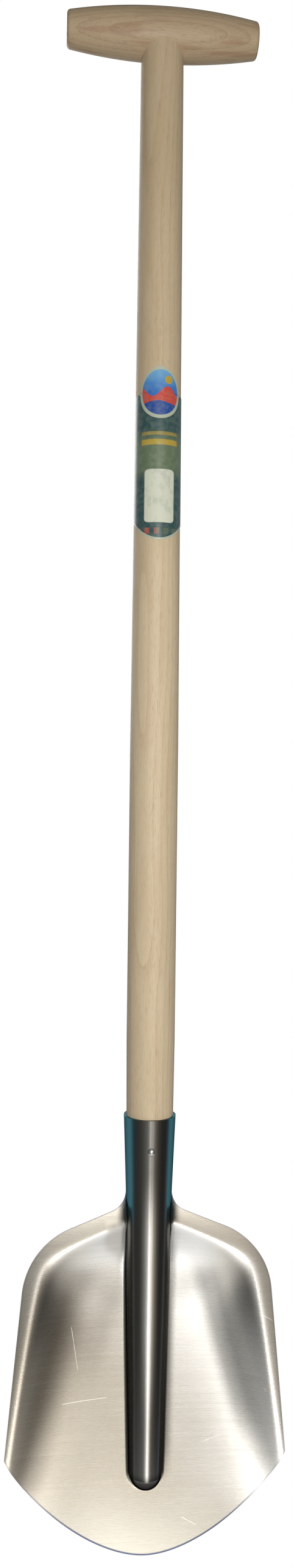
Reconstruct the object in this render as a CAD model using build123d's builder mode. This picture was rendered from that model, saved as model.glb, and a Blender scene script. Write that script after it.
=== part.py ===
from build123d import *

import os
from math import hypot, radians, sqrt, tan

# Millimetres. Z runs up the shaft, -Y is the scooped front and X is to the right of someone facing that front.
# The origin is the middle of the crossbar, by which the spade hangs.

# Sheet, films and fits
SHEET = 2.0  # steel of the head
FILM = 0.2  # thickness of label and sticker
GLUE = 0.15  # glue line under label and sticker
FIT = 0.15  # radial gap between wood and steel, and between tenon and mortise
DRIVEN_FIT = 0.05  # gap around the driven pieces: wedge, pin and rivet

# Shaft
HANG_TO_MOUTH = 886.0  # crossbar axis to socket mouth
SHAFT_D = 39.5  # straight stretch that a rack clip holds
SHAFT_MOUTH_D = 38.3  # where it enters the socket
SHAFT_TOP_D = 34.6  # under the crossbar
SHAFT_SWELL = 60.0  # mouth to the start of the straight stretch
SHAFT_STRAIGHT = 240.0
SHAFT_INSERT = 165.0  # length inside socket and rib
SHAFT_END_ROUND = 6.0

# Crossbar, tenon, wedge and pin
BAR_LENGTH = 157.0
BAR_MID_D = 41.0
BAR_END_D = 27.5
BAR_EDGE_ROUND = 3.0
TENON_D = 24.0
KERF_DEPTH = 16.0
WEDGE_TOP = 3.2
WEDGE_FOOT = 1.0
PIN_D = 5.0
PIN_LENGTH = 28.0
PIN_DROP = 3.5  # below the crossbar axis, under the kerf
PIN_SUNK = 0.6  # below the crossbar's back

# Socket and rib, measured down from the mouth
SOCKET_LENGTH = 60.0
NECK_D = 38.0
RIB_END = 294.0  # centre of the rib's round end
RIB_END_D = 27.0
SEAM = 2.4  # gap between the rolled edges at the back
SEAM_END = 64.0
BACK_RELIEF = 90.0  # below this the back half of the socket is gone

# Blade outline, measured down from the mouth
NECK_DROP = 74.7  # shoulder line at the neck
SHOULDER_DROP = 107.0  # shoulder line and side line meet here before rounding
SHOULDER_WIDTH = 198.4
CORNER_DROP = 279.5  # front corners, where the blade is widest
BLADE_WIDTH = 231.0
HEAD_LENGTH = 362.0
NECK_FILLET = 18.0
CORNER_ROUND = 62.0
FLANK_IN = 19.5  # handle of the front edge at the corner
FLANK_DOWN = 42.5
NOSE_REACH = 40.0  # handle of the front edge at the tip

# Scoop: heights are in front of the shaft axis
RIM_HEIGHT = 4.0
FLOOR_DEPTH = 20.0  # floor behind the shaft axis at the heel
HEEL_DROP = 90.0
LIFT = 4.5  # degrees that the floor rises towards the tip
FLANGE_REAR = 13.0
FLANGE_SIDE = 14.0
FLANGE_FRONT = 4.0
FLANGE_FALL = 9.0  # degrees that the flange falls outwards
CREASE_TURN = 14.0  # rounding of the crease at the shoulder
DEEP_TURN = 0.8  # growth of that rounding with the distance inside the crease
WALL_REAR = 80.0  # run of the wall between crease and floor
WALL_SIDE = 75.0
WALL_FRONT = 50.0
WALL_POWER = 3.0  # how fast the wall flattens out towards the floor
BEND = 4.0
RIDGE_ROUND = 4.0  # rounding of the rear wall's ridge behind the rib
GRID = 5.0  # spacing of the points that carry the scoop surface

# Rivet
RIVET_DROP = 25.5
RIVET_D = 4.5
RIVET_HEAD_D = 6.6
RIVET_HEAD_RISE = 1.7
WASHER_D = 12.0
WASHER_THICK = 1.2

# Label and sticker, measured up from the mouth
LABEL_FOOT = 468.0
LABEL_HEIGHT = 140.0
BADGE_WIDTH = 31.0  # rounded top of the label
BADGE_HEIGHT = 42.0
STICKER_FOOT = 482.0
STICKER_HEIGHT = 43.0
STICKER_WIDTH = 24.0
STICKER_CORNER = 3.0

# Sizes that follow from those above
REACH = 60.0  # clears the whole head front to back
MOUTH_Z = -HANG_TO_MOUTH
BAR_R = BAR_MID_D / 2
SHAFT_R = SHAFT_D / 2
MOUTH_R = SHAFT_MOUTH_D / 2 + FIT + SHEET
NECK_R = NECK_D / 2
RIB_END_R = RIB_END_D / 2
WOOD_INSET = SHEET + FIT
STRAIGHT_Z = MOUTH_Z + SHAFT_SWELL
TAPER_Z = STRAIGHT_Z + SHAFT_STRAIGHT
NECK_TOP = NECK_DROP - NECK_FILLET  # the blade's sheet starts here, inside the socket's wall


def blend(start, end, share):
    """Return the value at a share from 0 to 1 of the way from start to end, held at both ends."""
    return start + (end - start) * min(max(share, 0.0), 1.0)


def at(x, drop):
    """Return the front-view point that lies x to the right and drop below the socket mouth."""
    return (x, MOUTH_Z - drop)


def head_radius(drop):
    """Return the outer radius of the socket, or of the rib below it, at a drop below the mouth."""
    if drop < SOCKET_LENGTH:
        return blend(MOUTH_R, NECK_R, drop / SOCKET_LENGTH)
    return blend(NECK_R, RIB_END_R, (drop - SOCKET_LENGTH) / (RIB_END - SOCKET_LENGTH))


def taper_radius(z):
    """Return the shaft's radius at a height on its long taper up to the crossbar."""
    return blend(SHAFT_R, SHAFT_TOP_D / 2, (z - TAPER_Z) / (0.0 - TAPER_Z))


# Crease between flange and wall: a shoulder line and a side line with a rounded corner. Points are (x, drop).
neck_point = Vector(NECK_R, NECK_DROP)
shoulder_point = Vector(SHOULDER_WIDTH / 2, SHOULDER_DROP)
corner_point = Vector(BLADE_WIDTH / 2, CORNER_DROP)
shoulder_run = (shoulder_point - neck_point).normalized()
shoulder_out = Vector(shoulder_run.Y, -shoulder_run.X)
side_top = shoulder_point - Vector(FLANGE_SIDE, 0)
side_run = (corner_point - Vector(FLANGE_FRONT, 0) - side_top).normalized()
side_out = Vector(side_run.Y, -side_run.X)
rear_point = neck_point - shoulder_out * FLANGE_REAR


def inside_crease(x, drop):
    """Return the distance inside the crease, and the share of the turn from rear wall to side wall.

    The distance is the smaller of those from the shoulder line and the side line. A hyperbola rounds their corner,
    and the rounding grows inwards.
    """
    point = Vector(hypot(x, RIDGE_ROUND), drop)
    rear = (rear_point - point).dot(shoulder_out)
    side = (side_top - point).dot(side_out)
    near = (rear + side - hypot(rear - side, CREASE_TURN)) / 2
    turn = CREASE_TURN + DEEP_TURN * max(near, 0.0)
    share = (max(rear, 0.0) + 1) / (max(rear, 0.0) + max(side, 0.0) + 2)
    return (rear + side - hypot(rear - side, turn)) / 2, share


def scoop_height(x, drop):
    """Return how far the scoop's front surface lies in front of the shaft axis.

    The floor is a plane that rises by LIFT. The wall is a power curve from the crease down to the floor. The flange
    falls outwards. A softened distance rounds the bend between flange and wall.
    """
    inside, turn = inside_crease(x, drop)
    along = (drop - SHOULDER_DROP) / (CORNER_DROP - SHOULDER_DROP)
    run = blend(WALL_REAR, blend(WALL_SIDE, WALL_FRONT, along), turn)
    floor = tan(radians(LIFT)) * (drop - HEEL_DROP) - FLOOR_DEPTH
    soft = (inside + hypot(inside, BEND)) / 2
    wall = max(RIM_HEIGHT - floor, 0.0) * (1 - min(soft / run, 1.0)) ** WALL_POWER
    return floor + wall - tan(radians(FLANGE_FALL)) * (soft - inside)


# Front surface of the scoop, with a margin around the blade
half_span = BLADE_WIDTH / 2 + 2 * GRID
columns = 2 * round(half_span / GRID)
rows = round((HEAD_LENGTH - NECK_TOP) / GRID) + 4
grid_xs = [half_span * (2 * column / columns - 1) for column in range(columns + 1)]
grid_drops = [NECK_TOP + GRID * (row - 2) for row in range(rows + 1)]
scoop_front = Face.make_surface_from_array_of_points(
    [[Vector(x, -scoop_height(x, drop), MOUTH_Z - drop) for drop in grid_drops] for x in grid_xs], tol=0.05
)

# Barrel of the crossbar, before mortise and pin hole
with BuildPart() as barrel:
    with BuildSketch(Plane.XZ) as barrel_profile:
        with BuildLine():
            Polyline(
                (-BAR_LENGTH / 2, BAR_END_D / 2),
                (-BAR_LENGTH / 2, 0),
                (BAR_LENGTH / 2, 0),
                (BAR_LENGTH / 2, BAR_END_D / 2),
            )
            ThreePointArc((-BAR_LENGTH / 2, BAR_END_D / 2), (0, BAR_R), (BAR_LENGTH / 2, BAR_END_D / 2))
        make_face()
        fillet(barrel_profile.vertices().group_by(Axis.Y)[-1], radius=BAR_EDGE_ROUND)
    revolve(axis=Axis.X)

# Tenon wedge: thin across the crossbar, so that it spreads the tenon along the crossbar's grain
wedge_foot_z = BAR_R - KERF_DEPTH
with BuildPart() as tenon_wedge:
    with BuildSketch(Plane.XZ):
        Polygon(
            (-WEDGE_FOOT / 2, wedge_foot_z),
            (WEDGE_FOOT / 2, wedge_foot_z),
            (WEDGE_TOP / 2, BAR_R),
            (-WEDGE_TOP / 2, BAR_R),
            align=None,
        )
    extrude(amount=TENON_D, both=True)
    Cylinder(radius=TENON_D / 2, height=2 * BAR_MID_D, mode=Mode.INTERSECT)
    add(barrel.part, mode=Mode.INTERSECT)

# Grip pin, driven in from the back
pin_back = sqrt(BAR_R**2 - PIN_DROP**2) - PIN_SUNK
with BuildPart() as grip_pin:
    with BuildSketch(Plane.XZ.offset(-pin_back)):
        with Locations((0, -PIN_DROP)):
            Circle(PIN_D / 2)
    extrude(amount=PIN_LENGTH)

with BuildPart() as pin_hole:
    with BuildSketch(Plane.XZ.offset(-REACH)):
        with Locations((0, -PIN_DROP)):
            Circle(PIN_D / 2 + DRIVEN_FIT)
    extrude(amount=REACH - pin_back + PIN_LENGTH + DRIVEN_FIT)

# Crossbar
with BuildPart() as crossbar:
    add(barrel.part)
    Cylinder(radius=TENON_D / 2 + FIT, height=2 * BAR_MID_D, mode=Mode.SUBTRACT)
    add(pin_hole.part, mode=Mode.SUBTRACT)

# Outer form of socket and rib: turned on the shaft axis, then carried back to the scoop floor
with BuildPart() as head_skin:
    with BuildSketch(Plane.XZ):
        with BuildLine():
            Polyline(at(RIB_END_R, RIB_END), at(NECK_R, SOCKET_LENGTH), at(MOUTH_R, 0), at(0, 0))
            Line(at(0, 0), at(0, RIB_END + RIB_END_R))
            RadiusArc(at(0, RIB_END + RIB_END_R), at(RIB_END_R, RIB_END), -RIB_END_R)
        make_face()
    revolve(axis=Axis.Z)
    with BuildSketch(Plane.YZ):
        Polygon(
            (REACH, MOUTH_Z - SEAM_END + REACH - NECK_R),
            (NECK_R, MOUTH_Z - SEAM_END),
            (0, MOUTH_Z - BACK_RELIEF),
            (0, MOUTH_Z - HEAD_LENGTH),
            (REACH, MOUTH_Z - HEAD_LENGTH),
            align=None,
        )
    extrude(amount=REACH, both=True, mode=Mode.SUBTRACT)

# Sides of the rib, which end inside the sheet of the scoop
wall_drops = [BACK_RELIEF + WALL_REAR * step / 8 for step in range(9)]
with BuildPart() as rib_sides:
    with BuildSketch(Plane.XZ):
        Polygon(
            at(-head_radius(BACK_RELIEF), BACK_RELIEF),
            at(head_radius(BACK_RELIEF), BACK_RELIEF),
            at(RIB_END_R, RIB_END),
            at(-RIB_END_R, RIB_END),
            align=None,
        )
        with Locations(at(0, RIB_END)):
            Circle(RIB_END_R)
    extrude(amount=-REACH)
    with BuildSketch(Plane.YZ):
        Polygon(
            (-REACH, MOUTH_Z - HEAD_LENGTH),
            (-REACH, MOUTH_Z - BACK_RELIEF),
            *[(SHEET / 2 - scoop_height(NECK_R, drop), MOUTH_Z - drop) for drop in wall_drops + [HEAD_LENGTH]],
            align=None,
        )
    extrude(amount=REACH, both=True, mode=Mode.INTERSECT)

# Hollow of socket and rib, open at the back below the seam
with BuildPart() as head_hollow:
    with BuildSketch(Plane.XZ):
        with BuildLine():
            Polyline(
                at(RIB_END_R - SHEET, RIB_END),
                at(NECK_R - SHEET, SOCKET_LENGTH),
                at(MOUTH_R - SHEET, 0),
                at(0, 0),
            )
            Line(at(0, 0), at(0, RIB_END + RIB_END_R - SHEET))
            RadiusArc(at(0, RIB_END + RIB_END_R - SHEET), at(RIB_END_R - SHEET, RIB_END), -(RIB_END_R - SHEET))
        make_face()
    revolve(axis=Axis.Z)
    arch_r = head_radius(BACK_RELIEF) - SHEET
    with BuildSketch(Plane.XZ):
        Polygon(
            at(-arch_r, SEAM_END + arch_r),
            at(arch_r, SEAM_END + arch_r),
            at(RIB_END_R - SHEET, RIB_END),
            at(SHEET - RIB_END_R, RIB_END),
            align=None,
        )
        with Locations(at(0, SEAM_END + arch_r)):
            Circle(arch_r)
        with Locations(at(0, RIB_END)):
            Circle(RIB_END_R - SHEET)
    extrude(amount=-REACH)
    with Locations((0, REACH / 2, MOUTH_Z - SEAM_END / 2)):
        Box(SEAM, REACH, SEAM_END + arch_r)

# Rivet hole through the socket and the shaft inside it
rivet_z = MOUTH_Z - RIVET_DROP
with BuildPart() as rivet_hole:
    with BuildSketch(Plane.XZ):
        with Locations((0, rivet_z)):
            Circle(RIVET_D / 2 + DRIVEN_FIT)
    extrude(amount=REACH, both=True)

# Blade head: one sheet with scoop, rib and socket
neck_in = sqrt(NECK_R**2 - scoop_height(NECK_R, NECK_TOP) ** 2)
with BuildPart() as blade_head:
    thicken(to_thicken=scoop_front, amount=SHEET)
    with BuildSketch(Plane.XZ) as outline:
        with BuildLine():
            Polyline(
                at(0, NECK_TOP),
                at(neck_in, NECK_TOP),
                at(neck_in, NECK_DROP),
                at(shoulder_point.X, SHOULDER_DROP),
                at(corner_point.X, CORNER_DROP),
            )
            Bezier(
                at(corner_point.X, CORNER_DROP),
                at(corner_point.X - FLANK_IN, CORNER_DROP + FLANK_DOWN),
                at(NOSE_REACH, HEAD_LENGTH),
                at(0, HEAD_LENGTH),
            )
            mirror(about=Plane.YZ)
        make_face()
        fillet(outline.vertices().group_by(Axis.Y)[-3], radius=CORNER_ROUND)
        fillet(outline.vertices().group_by(Axis.Y)[-2], radius=NECK_FILLET)
    extrude(amount=REACH, both=True, mode=Mode.INTERSECT)
    add(head_skin.part)
    add(rib_sides.part)
    add(head_hollow.part, mode=Mode.SUBTRACT)
    add(rivet_hole.part, mode=Mode.SUBTRACT)

# Tenon, flush with the crossbar's top
with BuildPart() as tenon:
    Cylinder(radius=TENON_D / 2, height=2 * BAR_MID_D)
    add(barrel.part, mode=Mode.INTERSECT)

# Shaft: turned profile, coped under the crossbar, with its tenon, kerf, pin hole and rivet hole
with BuildPart() as shaft:
    with BuildSketch(Plane.XZ) as shaft_profile:
        Polygon(
            (0, 0),
            (SHAFT_TOP_D / 2, 0),
            (SHAFT_R, TAPER_Z),
            (SHAFT_R, STRAIGHT_Z),
            (SHAFT_MOUTH_D / 2, MOUTH_Z),
            at(NECK_R - WOOD_INSET, SOCKET_LENGTH),
            at(head_radius(SHAFT_INSERT) - WOOD_INSET, SHAFT_INSERT),
            at(0, SHAFT_INSERT),
            align=None,
        )
        fillet(shaft_profile.vertices().group_by(Axis.Y)[0].sort_by(Axis.X)[-1], radius=SHAFT_END_ROUND)
    revolve(axis=Axis.Z)
    add(barrel.part, mode=Mode.SUBTRACT)
    add(tenon.part)
    with BuildSketch(Plane.XZ):
        Polygon(
            (-WEDGE_FOOT / 2 - DRIVEN_FIT, wedge_foot_z - DRIVEN_FIT),
            (WEDGE_FOOT / 2 + DRIVEN_FIT, wedge_foot_z - DRIVEN_FIT),
            (WEDGE_TOP / 2 + DRIVEN_FIT, BAR_R),
            (-WEDGE_TOP / 2 - DRIVEN_FIT, BAR_R),
            align=None,
        )
    extrude(amount=TENON_D, both=True, mode=Mode.SUBTRACT)
    add(pin_hole.part, mode=Mode.SUBTRACT)
    add(rivet_hole.part, mode=Mode.SUBTRACT)

# Rivet and saddle washer. The head's flat underside clears the taper of the socket.
rivet_seat = head_radius(RIVET_DROP - RIVET_HEAD_D / 2)
washer_back = rivet_seat + WASHER_THICK
with BuildPart() as rivet_washer:
    with BuildSketch(Plane.XZ.offset(-washer_back)):
        with Locations((0, rivet_z)):
            Circle(WASHER_D / 2)
            Circle(RIVET_D / 2 + DRIVEN_FIT, mode=Mode.SUBTRACT)
    extrude(amount=REACH / 2)
    add(head_skin.part, mode=Mode.SUBTRACT)

with BuildPart() as socket_rivet:
    with BuildSketch(Plane(origin=(0, 0, rivet_z), x_dir=(0, 1, 0), z_dir=(1, 0, 0))):
        with BuildLine():
            TangentArc((-rivet_seat - RIVET_HEAD_RISE, 0), (-rivet_seat, RIVET_HEAD_D / 2), tangent=(0, 1))
            Polyline(
                (-rivet_seat, RIVET_HEAD_D / 2),
                (-rivet_seat, RIVET_D / 2),
                (washer_back, RIVET_D / 2),
                (washer_back, RIVET_HEAD_D / 2),
            )
            TangentArc((washer_back + RIVET_HEAD_RISE, 0), (washer_back, RIVET_HEAD_D / 2), tangent=(0, 1))
            Line((washer_back + RIVET_HEAD_RISE, 0), (-rivet_seat - RIVET_HEAD_RISE, 0))
        make_face()
    revolve(axis=Axis((0, 0, rivet_z), (0, 1, 0)))

# Label and sticker: films on the shaft's taper, cut to their front outlines
label_foot_z = MOUTH_Z + LABEL_FOOT
label_top_z = label_foot_z + LABEL_HEIGHT
label_in = taper_radius(label_foot_z) + GLUE
label_top_in = taper_radius(label_top_z) + GLUE
with BuildPart() as shaft_label:
    with BuildSketch(Plane.XZ):
        Polygon(
            (-label_in, label_foot_z),
            (-label_in - FILM, label_foot_z),
            (-label_top_in - FILM, label_top_z),
            (-label_top_in, label_top_z),
            align=None,
        )
    revolve(axis=Axis.Z, revolution_arc=180)
    with BuildSketch(Plane.XZ):
        with Locations((0, label_top_z - BADGE_HEIGHT / 2)):
            Ellipse(BADGE_WIDTH / 2, BADGE_HEIGHT / 2)
            Rectangle(2 * SHAFT_D, LABEL_HEIGHT - BADGE_HEIGHT / 2 - SHAFT_R, align=(Align.CENTER, Align.MAX))
        with Locations((0, label_foot_z + SHAFT_R)):
            Circle(SHAFT_R)
    extrude(amount=REACH, mode=Mode.INTERSECT)

sticker_foot_z = MOUTH_Z + STICKER_FOOT
sticker_top_z = sticker_foot_z + STICKER_HEIGHT
sticker_in = taper_radius(sticker_foot_z) + 2 * GLUE + FILM
sticker_top_in = taper_radius(sticker_top_z) + 2 * GLUE + FILM
with BuildPart() as white_sticker:
    with BuildSketch(Plane.XZ):
        Polygon(
            (-sticker_in, sticker_foot_z),
            (-sticker_in - FILM, sticker_foot_z),
            (-sticker_top_in - FILM, sticker_top_z),
            (-sticker_top_in, sticker_top_z),
            align=None,
        )
    revolve(axis=Axis.Z, revolution_arc=180)
    with BuildSketch(Plane.XZ):
        with Locations((0, sticker_foot_z + STICKER_HEIGHT / 2)):
            RectangleRounded(STICKER_WIDTH, STICKER_HEIGHT, STICKER_CORNER)
    extrude(amount=REACH, mode=Mode.INTERSECT)

# Export
os.makedirs("parts", exist_ok=True)
blade_head.part.label = "blade_head"
export_step(blade_head.part, "parts/blade_head.step")
shaft.part.label = "shaft"
export_step(shaft.part, "parts/shaft.step")
crossbar.part.label = "crossbar"
export_step(crossbar.part, "parts/crossbar.step")
tenon_wedge.part.label = "tenon_wedge"
export_step(tenon_wedge.part, "parts/tenon_wedge.step")
grip_pin.part.label = "grip_pin"
export_step(grip_pin.part, "parts/grip_pin.step")
socket_rivet.part.label = "socket_rivet"
export_step(socket_rivet.part, "parts/socket_rivet.step")
rivet_washer.part.label = "rivet_washer"
export_step(rivet_washer.part, "parts/rivet_washer.step")
shaft_label.part.label = "shaft_label"
export_step(shaft_label.part, "parts/shaft_label.step")
white_sticker.part.label = "white_sticker"
export_step(white_sticker.part, "parts/white_sticker.step")
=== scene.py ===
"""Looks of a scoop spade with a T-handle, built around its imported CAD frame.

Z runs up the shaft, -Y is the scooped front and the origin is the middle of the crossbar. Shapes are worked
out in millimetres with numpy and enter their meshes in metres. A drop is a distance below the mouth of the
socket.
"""

import functools
import logging
import math
from dataclasses import dataclass, field
from enum import Enum
from typing import Any, Mapping, Optional, Sequence, Union

import bmesh
import bpy
import numpy as np
from mathutils import Matrix, Vector


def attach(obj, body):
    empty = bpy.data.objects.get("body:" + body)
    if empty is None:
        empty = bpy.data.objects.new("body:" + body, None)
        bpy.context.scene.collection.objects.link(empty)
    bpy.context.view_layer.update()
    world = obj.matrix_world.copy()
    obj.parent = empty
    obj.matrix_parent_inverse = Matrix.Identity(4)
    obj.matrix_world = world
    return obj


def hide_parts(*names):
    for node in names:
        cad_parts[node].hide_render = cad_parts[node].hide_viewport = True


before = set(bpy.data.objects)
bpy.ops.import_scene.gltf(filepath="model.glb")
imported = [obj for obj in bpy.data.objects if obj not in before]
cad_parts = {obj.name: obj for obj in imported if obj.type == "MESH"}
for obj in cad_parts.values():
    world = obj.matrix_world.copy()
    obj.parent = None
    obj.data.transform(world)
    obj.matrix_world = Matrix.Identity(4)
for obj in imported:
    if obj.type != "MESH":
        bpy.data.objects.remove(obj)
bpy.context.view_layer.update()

LOG = logging.getLogger("spade")
BODY = "root"
MM = 0.001  # metres in a millimetre
MOUTH_Z = -886.0  # height of the socket mouth in millimetres
MAP_UNIT = 100.0  # millimetres in a unit of the label's own map
TINY = 1e-6  # millimetres of scoop in a row that has none
AWAY = 50.0  # mark of a point of the head that is nowhere near outline or crease, in millimetres

Array = np.ndarray
Triple = tuple[float, float, float]
Colour = Triple
Span = tuple[float, float]
Limits = tuple[float, ...]


class Axis(Enum):
    """The axis that a turned piece or a grain runs along, as the order of (across, across, along)."""

    X = (1, 2, 0)
    Y = (2, 0, 1)
    Z = (0, 1, 2)


def blend(start: Any, end: Any, share: Any) -> Any:
    """Return the value at a share of the way from start to end, held at both ends."""
    return start + (end - start) * np.clip(share, 0.0, 1.0)


def unit(vector: Array) -> Array:
    """Return the vector at length one."""
    return vector / np.linalg.norm(vector)


def linear(red: int, green: int, blue: int) -> Colour:
    """Return an sRGB colour in linear light.

    Args:
        red: Red from 0 to 255.
        green: Green from 0 to 255.
        blue: Blue from 0 to 255.

    Returns:
        The colour, each part from 0 to 1.
    """
    share = np.array([red, green, blue]) / 255.0
    light = np.where(share <= 0.04045, share / 12.92, ((share + 0.055) / 1.055) ** 2.4)
    return (float(light[0]), float(light[1]), float(light[2]))


def round_corner(before: Array, corner: Array, after: Array, radius: float, count: int) -> Array:
    """Return the points of an arc that rounds a corner of a flat path.

    The arc starts on the line that comes in, a tangent length before the corner, and turns about a centre
    that lies one radius to the inner side of that line.

    Args:
        before: A point on the line that comes in.
        corner: The sharp corner.
        after: A point on the line that goes out.
        radius: Radius of the arc.
        count: Number of points.

    Returns:
        The arc's points, one to a row.
    """
    run_in = unit(corner - before)
    run_out = unit(after - corner)
    turn = math.acos(float(np.clip(run_in @ run_out, -1.0, 1.0)))
    inner = unit(run_out - run_in * (run_in @ run_out))
    first = corner - run_in * (radius * math.tan(turn / 2))
    angles = np.linspace(0.0, turn, count)[:, None]
    return first + inner * radius + radius * (np.sin(angles) * run_in - np.cos(angles) * inner)


def resample(path: Array, count: int) -> Array:
    """Return points at equal steps of length along a flat path.

    Args:
        path: The path's points, one to a row.
        count: Number of points wanted.

    Returns:
        The new points, with the path's two ends kept.
    """
    steps = np.hypot(*np.diff(path, axis=0).T)
    length = np.concatenate([[0.0], np.cumsum(steps)])
    wanted = np.linspace(0.0, length[-1], count)
    return np.stack([np.interp(wanted, length, path[:, axis]) for axis in range(2)], axis=-1)


def crowded(length: float, count: int, power: float) -> Array:
    """Return places from 0 to a length that crowd together towards 0: a power of equal steps."""
    return np.linspace(0.0, length, count) ** power / length ** (power - 1)


@dataclass
class Patch:
    """A grid of surface points in millimetres, rows by columns by three.

    Attributes:
        points: The grid.
        flip: Turn the faces round.
        wrap: Join the last column to the first.
        marks: Values for the material, by name, one to a point.
    """

    points: Array
    flip: bool = False
    wrap: bool = False
    marks: dict[str, Array] = field(default_factory=dict)

    def faces(self, first: int) -> Array:
        """Return the grid's quads.

        Args:
            first: Number of the grid's first vertex.

        Returns:
            The vertex numbers of each quad.
        """
        rows, columns = self.points.shape[:2]
        number = first + np.arange(rows * columns).reshape(rows, columns)
        if self.wrap:
            number = np.concatenate([number, number[:, :1]], axis=1)
        corners = [number[:-1, :-1], number[1:, :-1], number[1:, 1:], number[:-1, 1:]]
        quads = np.stack(corners, axis=-1).reshape(-1, 4)
        return quads[:, ::-1] if self.flip else quads

    def mirrored(self) -> "Patch":
        """Return the same grid on the other side of the plane between left and right."""
        return Patch(self.points * np.array([-1.0, 1.0, 1.0]), not self.flip, self.wrap, self.marks)


def turned(profile: Array, axis: Axis, columns: int = 96) -> Patch:
    """Return the surface of a profile that is turned about an axis.

    A point is (radius cos angle, radius sin angle, height), put in the order of the axis.

    Args:
        profile: Radius and height of each row.
        axis: The axis of the turned piece.
        columns: Number of points around.

    Returns:
        A wrapped patch.
    """
    angle = np.linspace(0.0, 2 * math.pi, columns, endpoint=False)
    radius, height = profile[:, :1], profile[:, 1:]
    grid = np.stack([radius * np.cos(angle), radius * np.sin(angle), height + 0 * angle], axis=-1)
    points = np.empty_like(grid)
    points[..., list(axis.value)] = grid
    return Patch(points, flip=True, wrap=True)


def mesh_piece(name: str, patches: Sequence[Patch], weld: float = 0.002) -> bpy.types.Object:
    """Make one object from patches, with the points that meet welded together.

    Args:
        name: Name of the object.
        patches: Grids that make up the surface.
        weld: Points closer than this, in millimetres, become one.

    Returns:
        The new object, at the origin.
    """
    starts = np.cumsum([0] + [patch.points.shape[0] * patch.points.shape[1] for patch in patches])
    points = np.concatenate([patch.points.reshape(-1, 3) for patch in patches]) * MM
    faces = np.concatenate([patch.faces(int(start)) for patch, start in zip(patches, starts)])
    mesh = bpy.data.meshes.new(name)
    mesh.from_pydata(points.tolist(), [], faces.tolist())
    for mark in patches[0].marks:
        values = np.concatenate([patch.marks[mark].reshape(-1) for patch in patches])
        mesh.attributes.new(mark, "FLOAT", "POINT").data.foreach_set("value", values.astype(np.float32))
    shape = bmesh.new()
    shape.from_mesh(mesh)
    bmesh.ops.remove_doubles(shape, verts=shape.verts, dist=weld * MM)
    bmesh.ops.dissolve_degenerate(shape, edges=shape.edges, dist=weld * MM * 0.1)
    shape.to_mesh(mesh)
    shape.free()
    piece = bpy.data.objects.new(name, mesh)
    bpy.context.scene.collection.objects.link(piece)
    return piece


def settle_mesh(piece: bpy.types.Object, sharp: float = 35.0) -> None:
    """Apply a piece's modifiers and shade it smooth, apart from its sharp edges.

    Args:
        piece: The piece.
        sharp: Angle in degrees from which an edge is sharp.
    """
    graph = bpy.context.evaluated_depsgraph_get()
    final = piece.evaluated_get(graph)
    mesh = bpy.data.meshes.new_from_object(final, preserve_all_data_layers=True, depsgraph=graph)
    piece.modifiers.clear()
    piece.data = mesh
    mesh.name = piece.name
    mesh.shade_smooth()
    mesh.set_sharp_from_angle(angle=math.radians(sharp))


def thicken(piece: bpy.types.Object, thickness: float) -> None:
    """Give an open surface a wall behind its face.

    Args:
        piece: The open surface.
        thickness: Thickness of the wall in millimetres.
    """
    wall = piece.modifiers.new("wall", "SOLIDIFY")
    wall.thickness = thickness * MM
    wall.offset = -1.0


def cut_away(piece: bpy.types.Object, cutter: bpy.types.Object) -> None:
    """Cut a closed form out of a piece, and delete that form.

    Args:
        piece: The piece.
        cutter: The closed form.
    """
    cut = piece.modifiers.new("cut", "BOOLEAN")
    cut.object = cutter
    cut.solver = "EXACT"
    settle_mesh(piece)
    bpy.data.objects.remove(cutter)


def place(piece: bpy.types.Object, material: bpy.types.Material, slot: str, node: str) -> bpy.types.Object:
    """Dress a finished piece and tie it to the frame.

    Args:
        piece: The finished object.
        material: Its material.
        slot: A material slot's name; not used.
        node: The CAD node that it stands for.

    Returns:
        The piece.
    """
    piece.data.materials.clear()
    piece.data.materials.append(material)
    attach(piece, BODY)
    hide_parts(node)
    LOG.info("%s: %d faces", piece.name, len(piece.data.polygons))
    return piece


def dress_node(node: str, material: bpy.types.Material) -> None:
    """Give a CAD node that stays in view its material.

    Args:
        node: Name of the node.
        material: Its material.
    """
    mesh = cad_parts[node].data
    mesh.materials.clear()
    mesh.materials.append(material)
    LOG.info("%s: CAD node kept", node)


Number = Union[float, "Value"]


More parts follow.
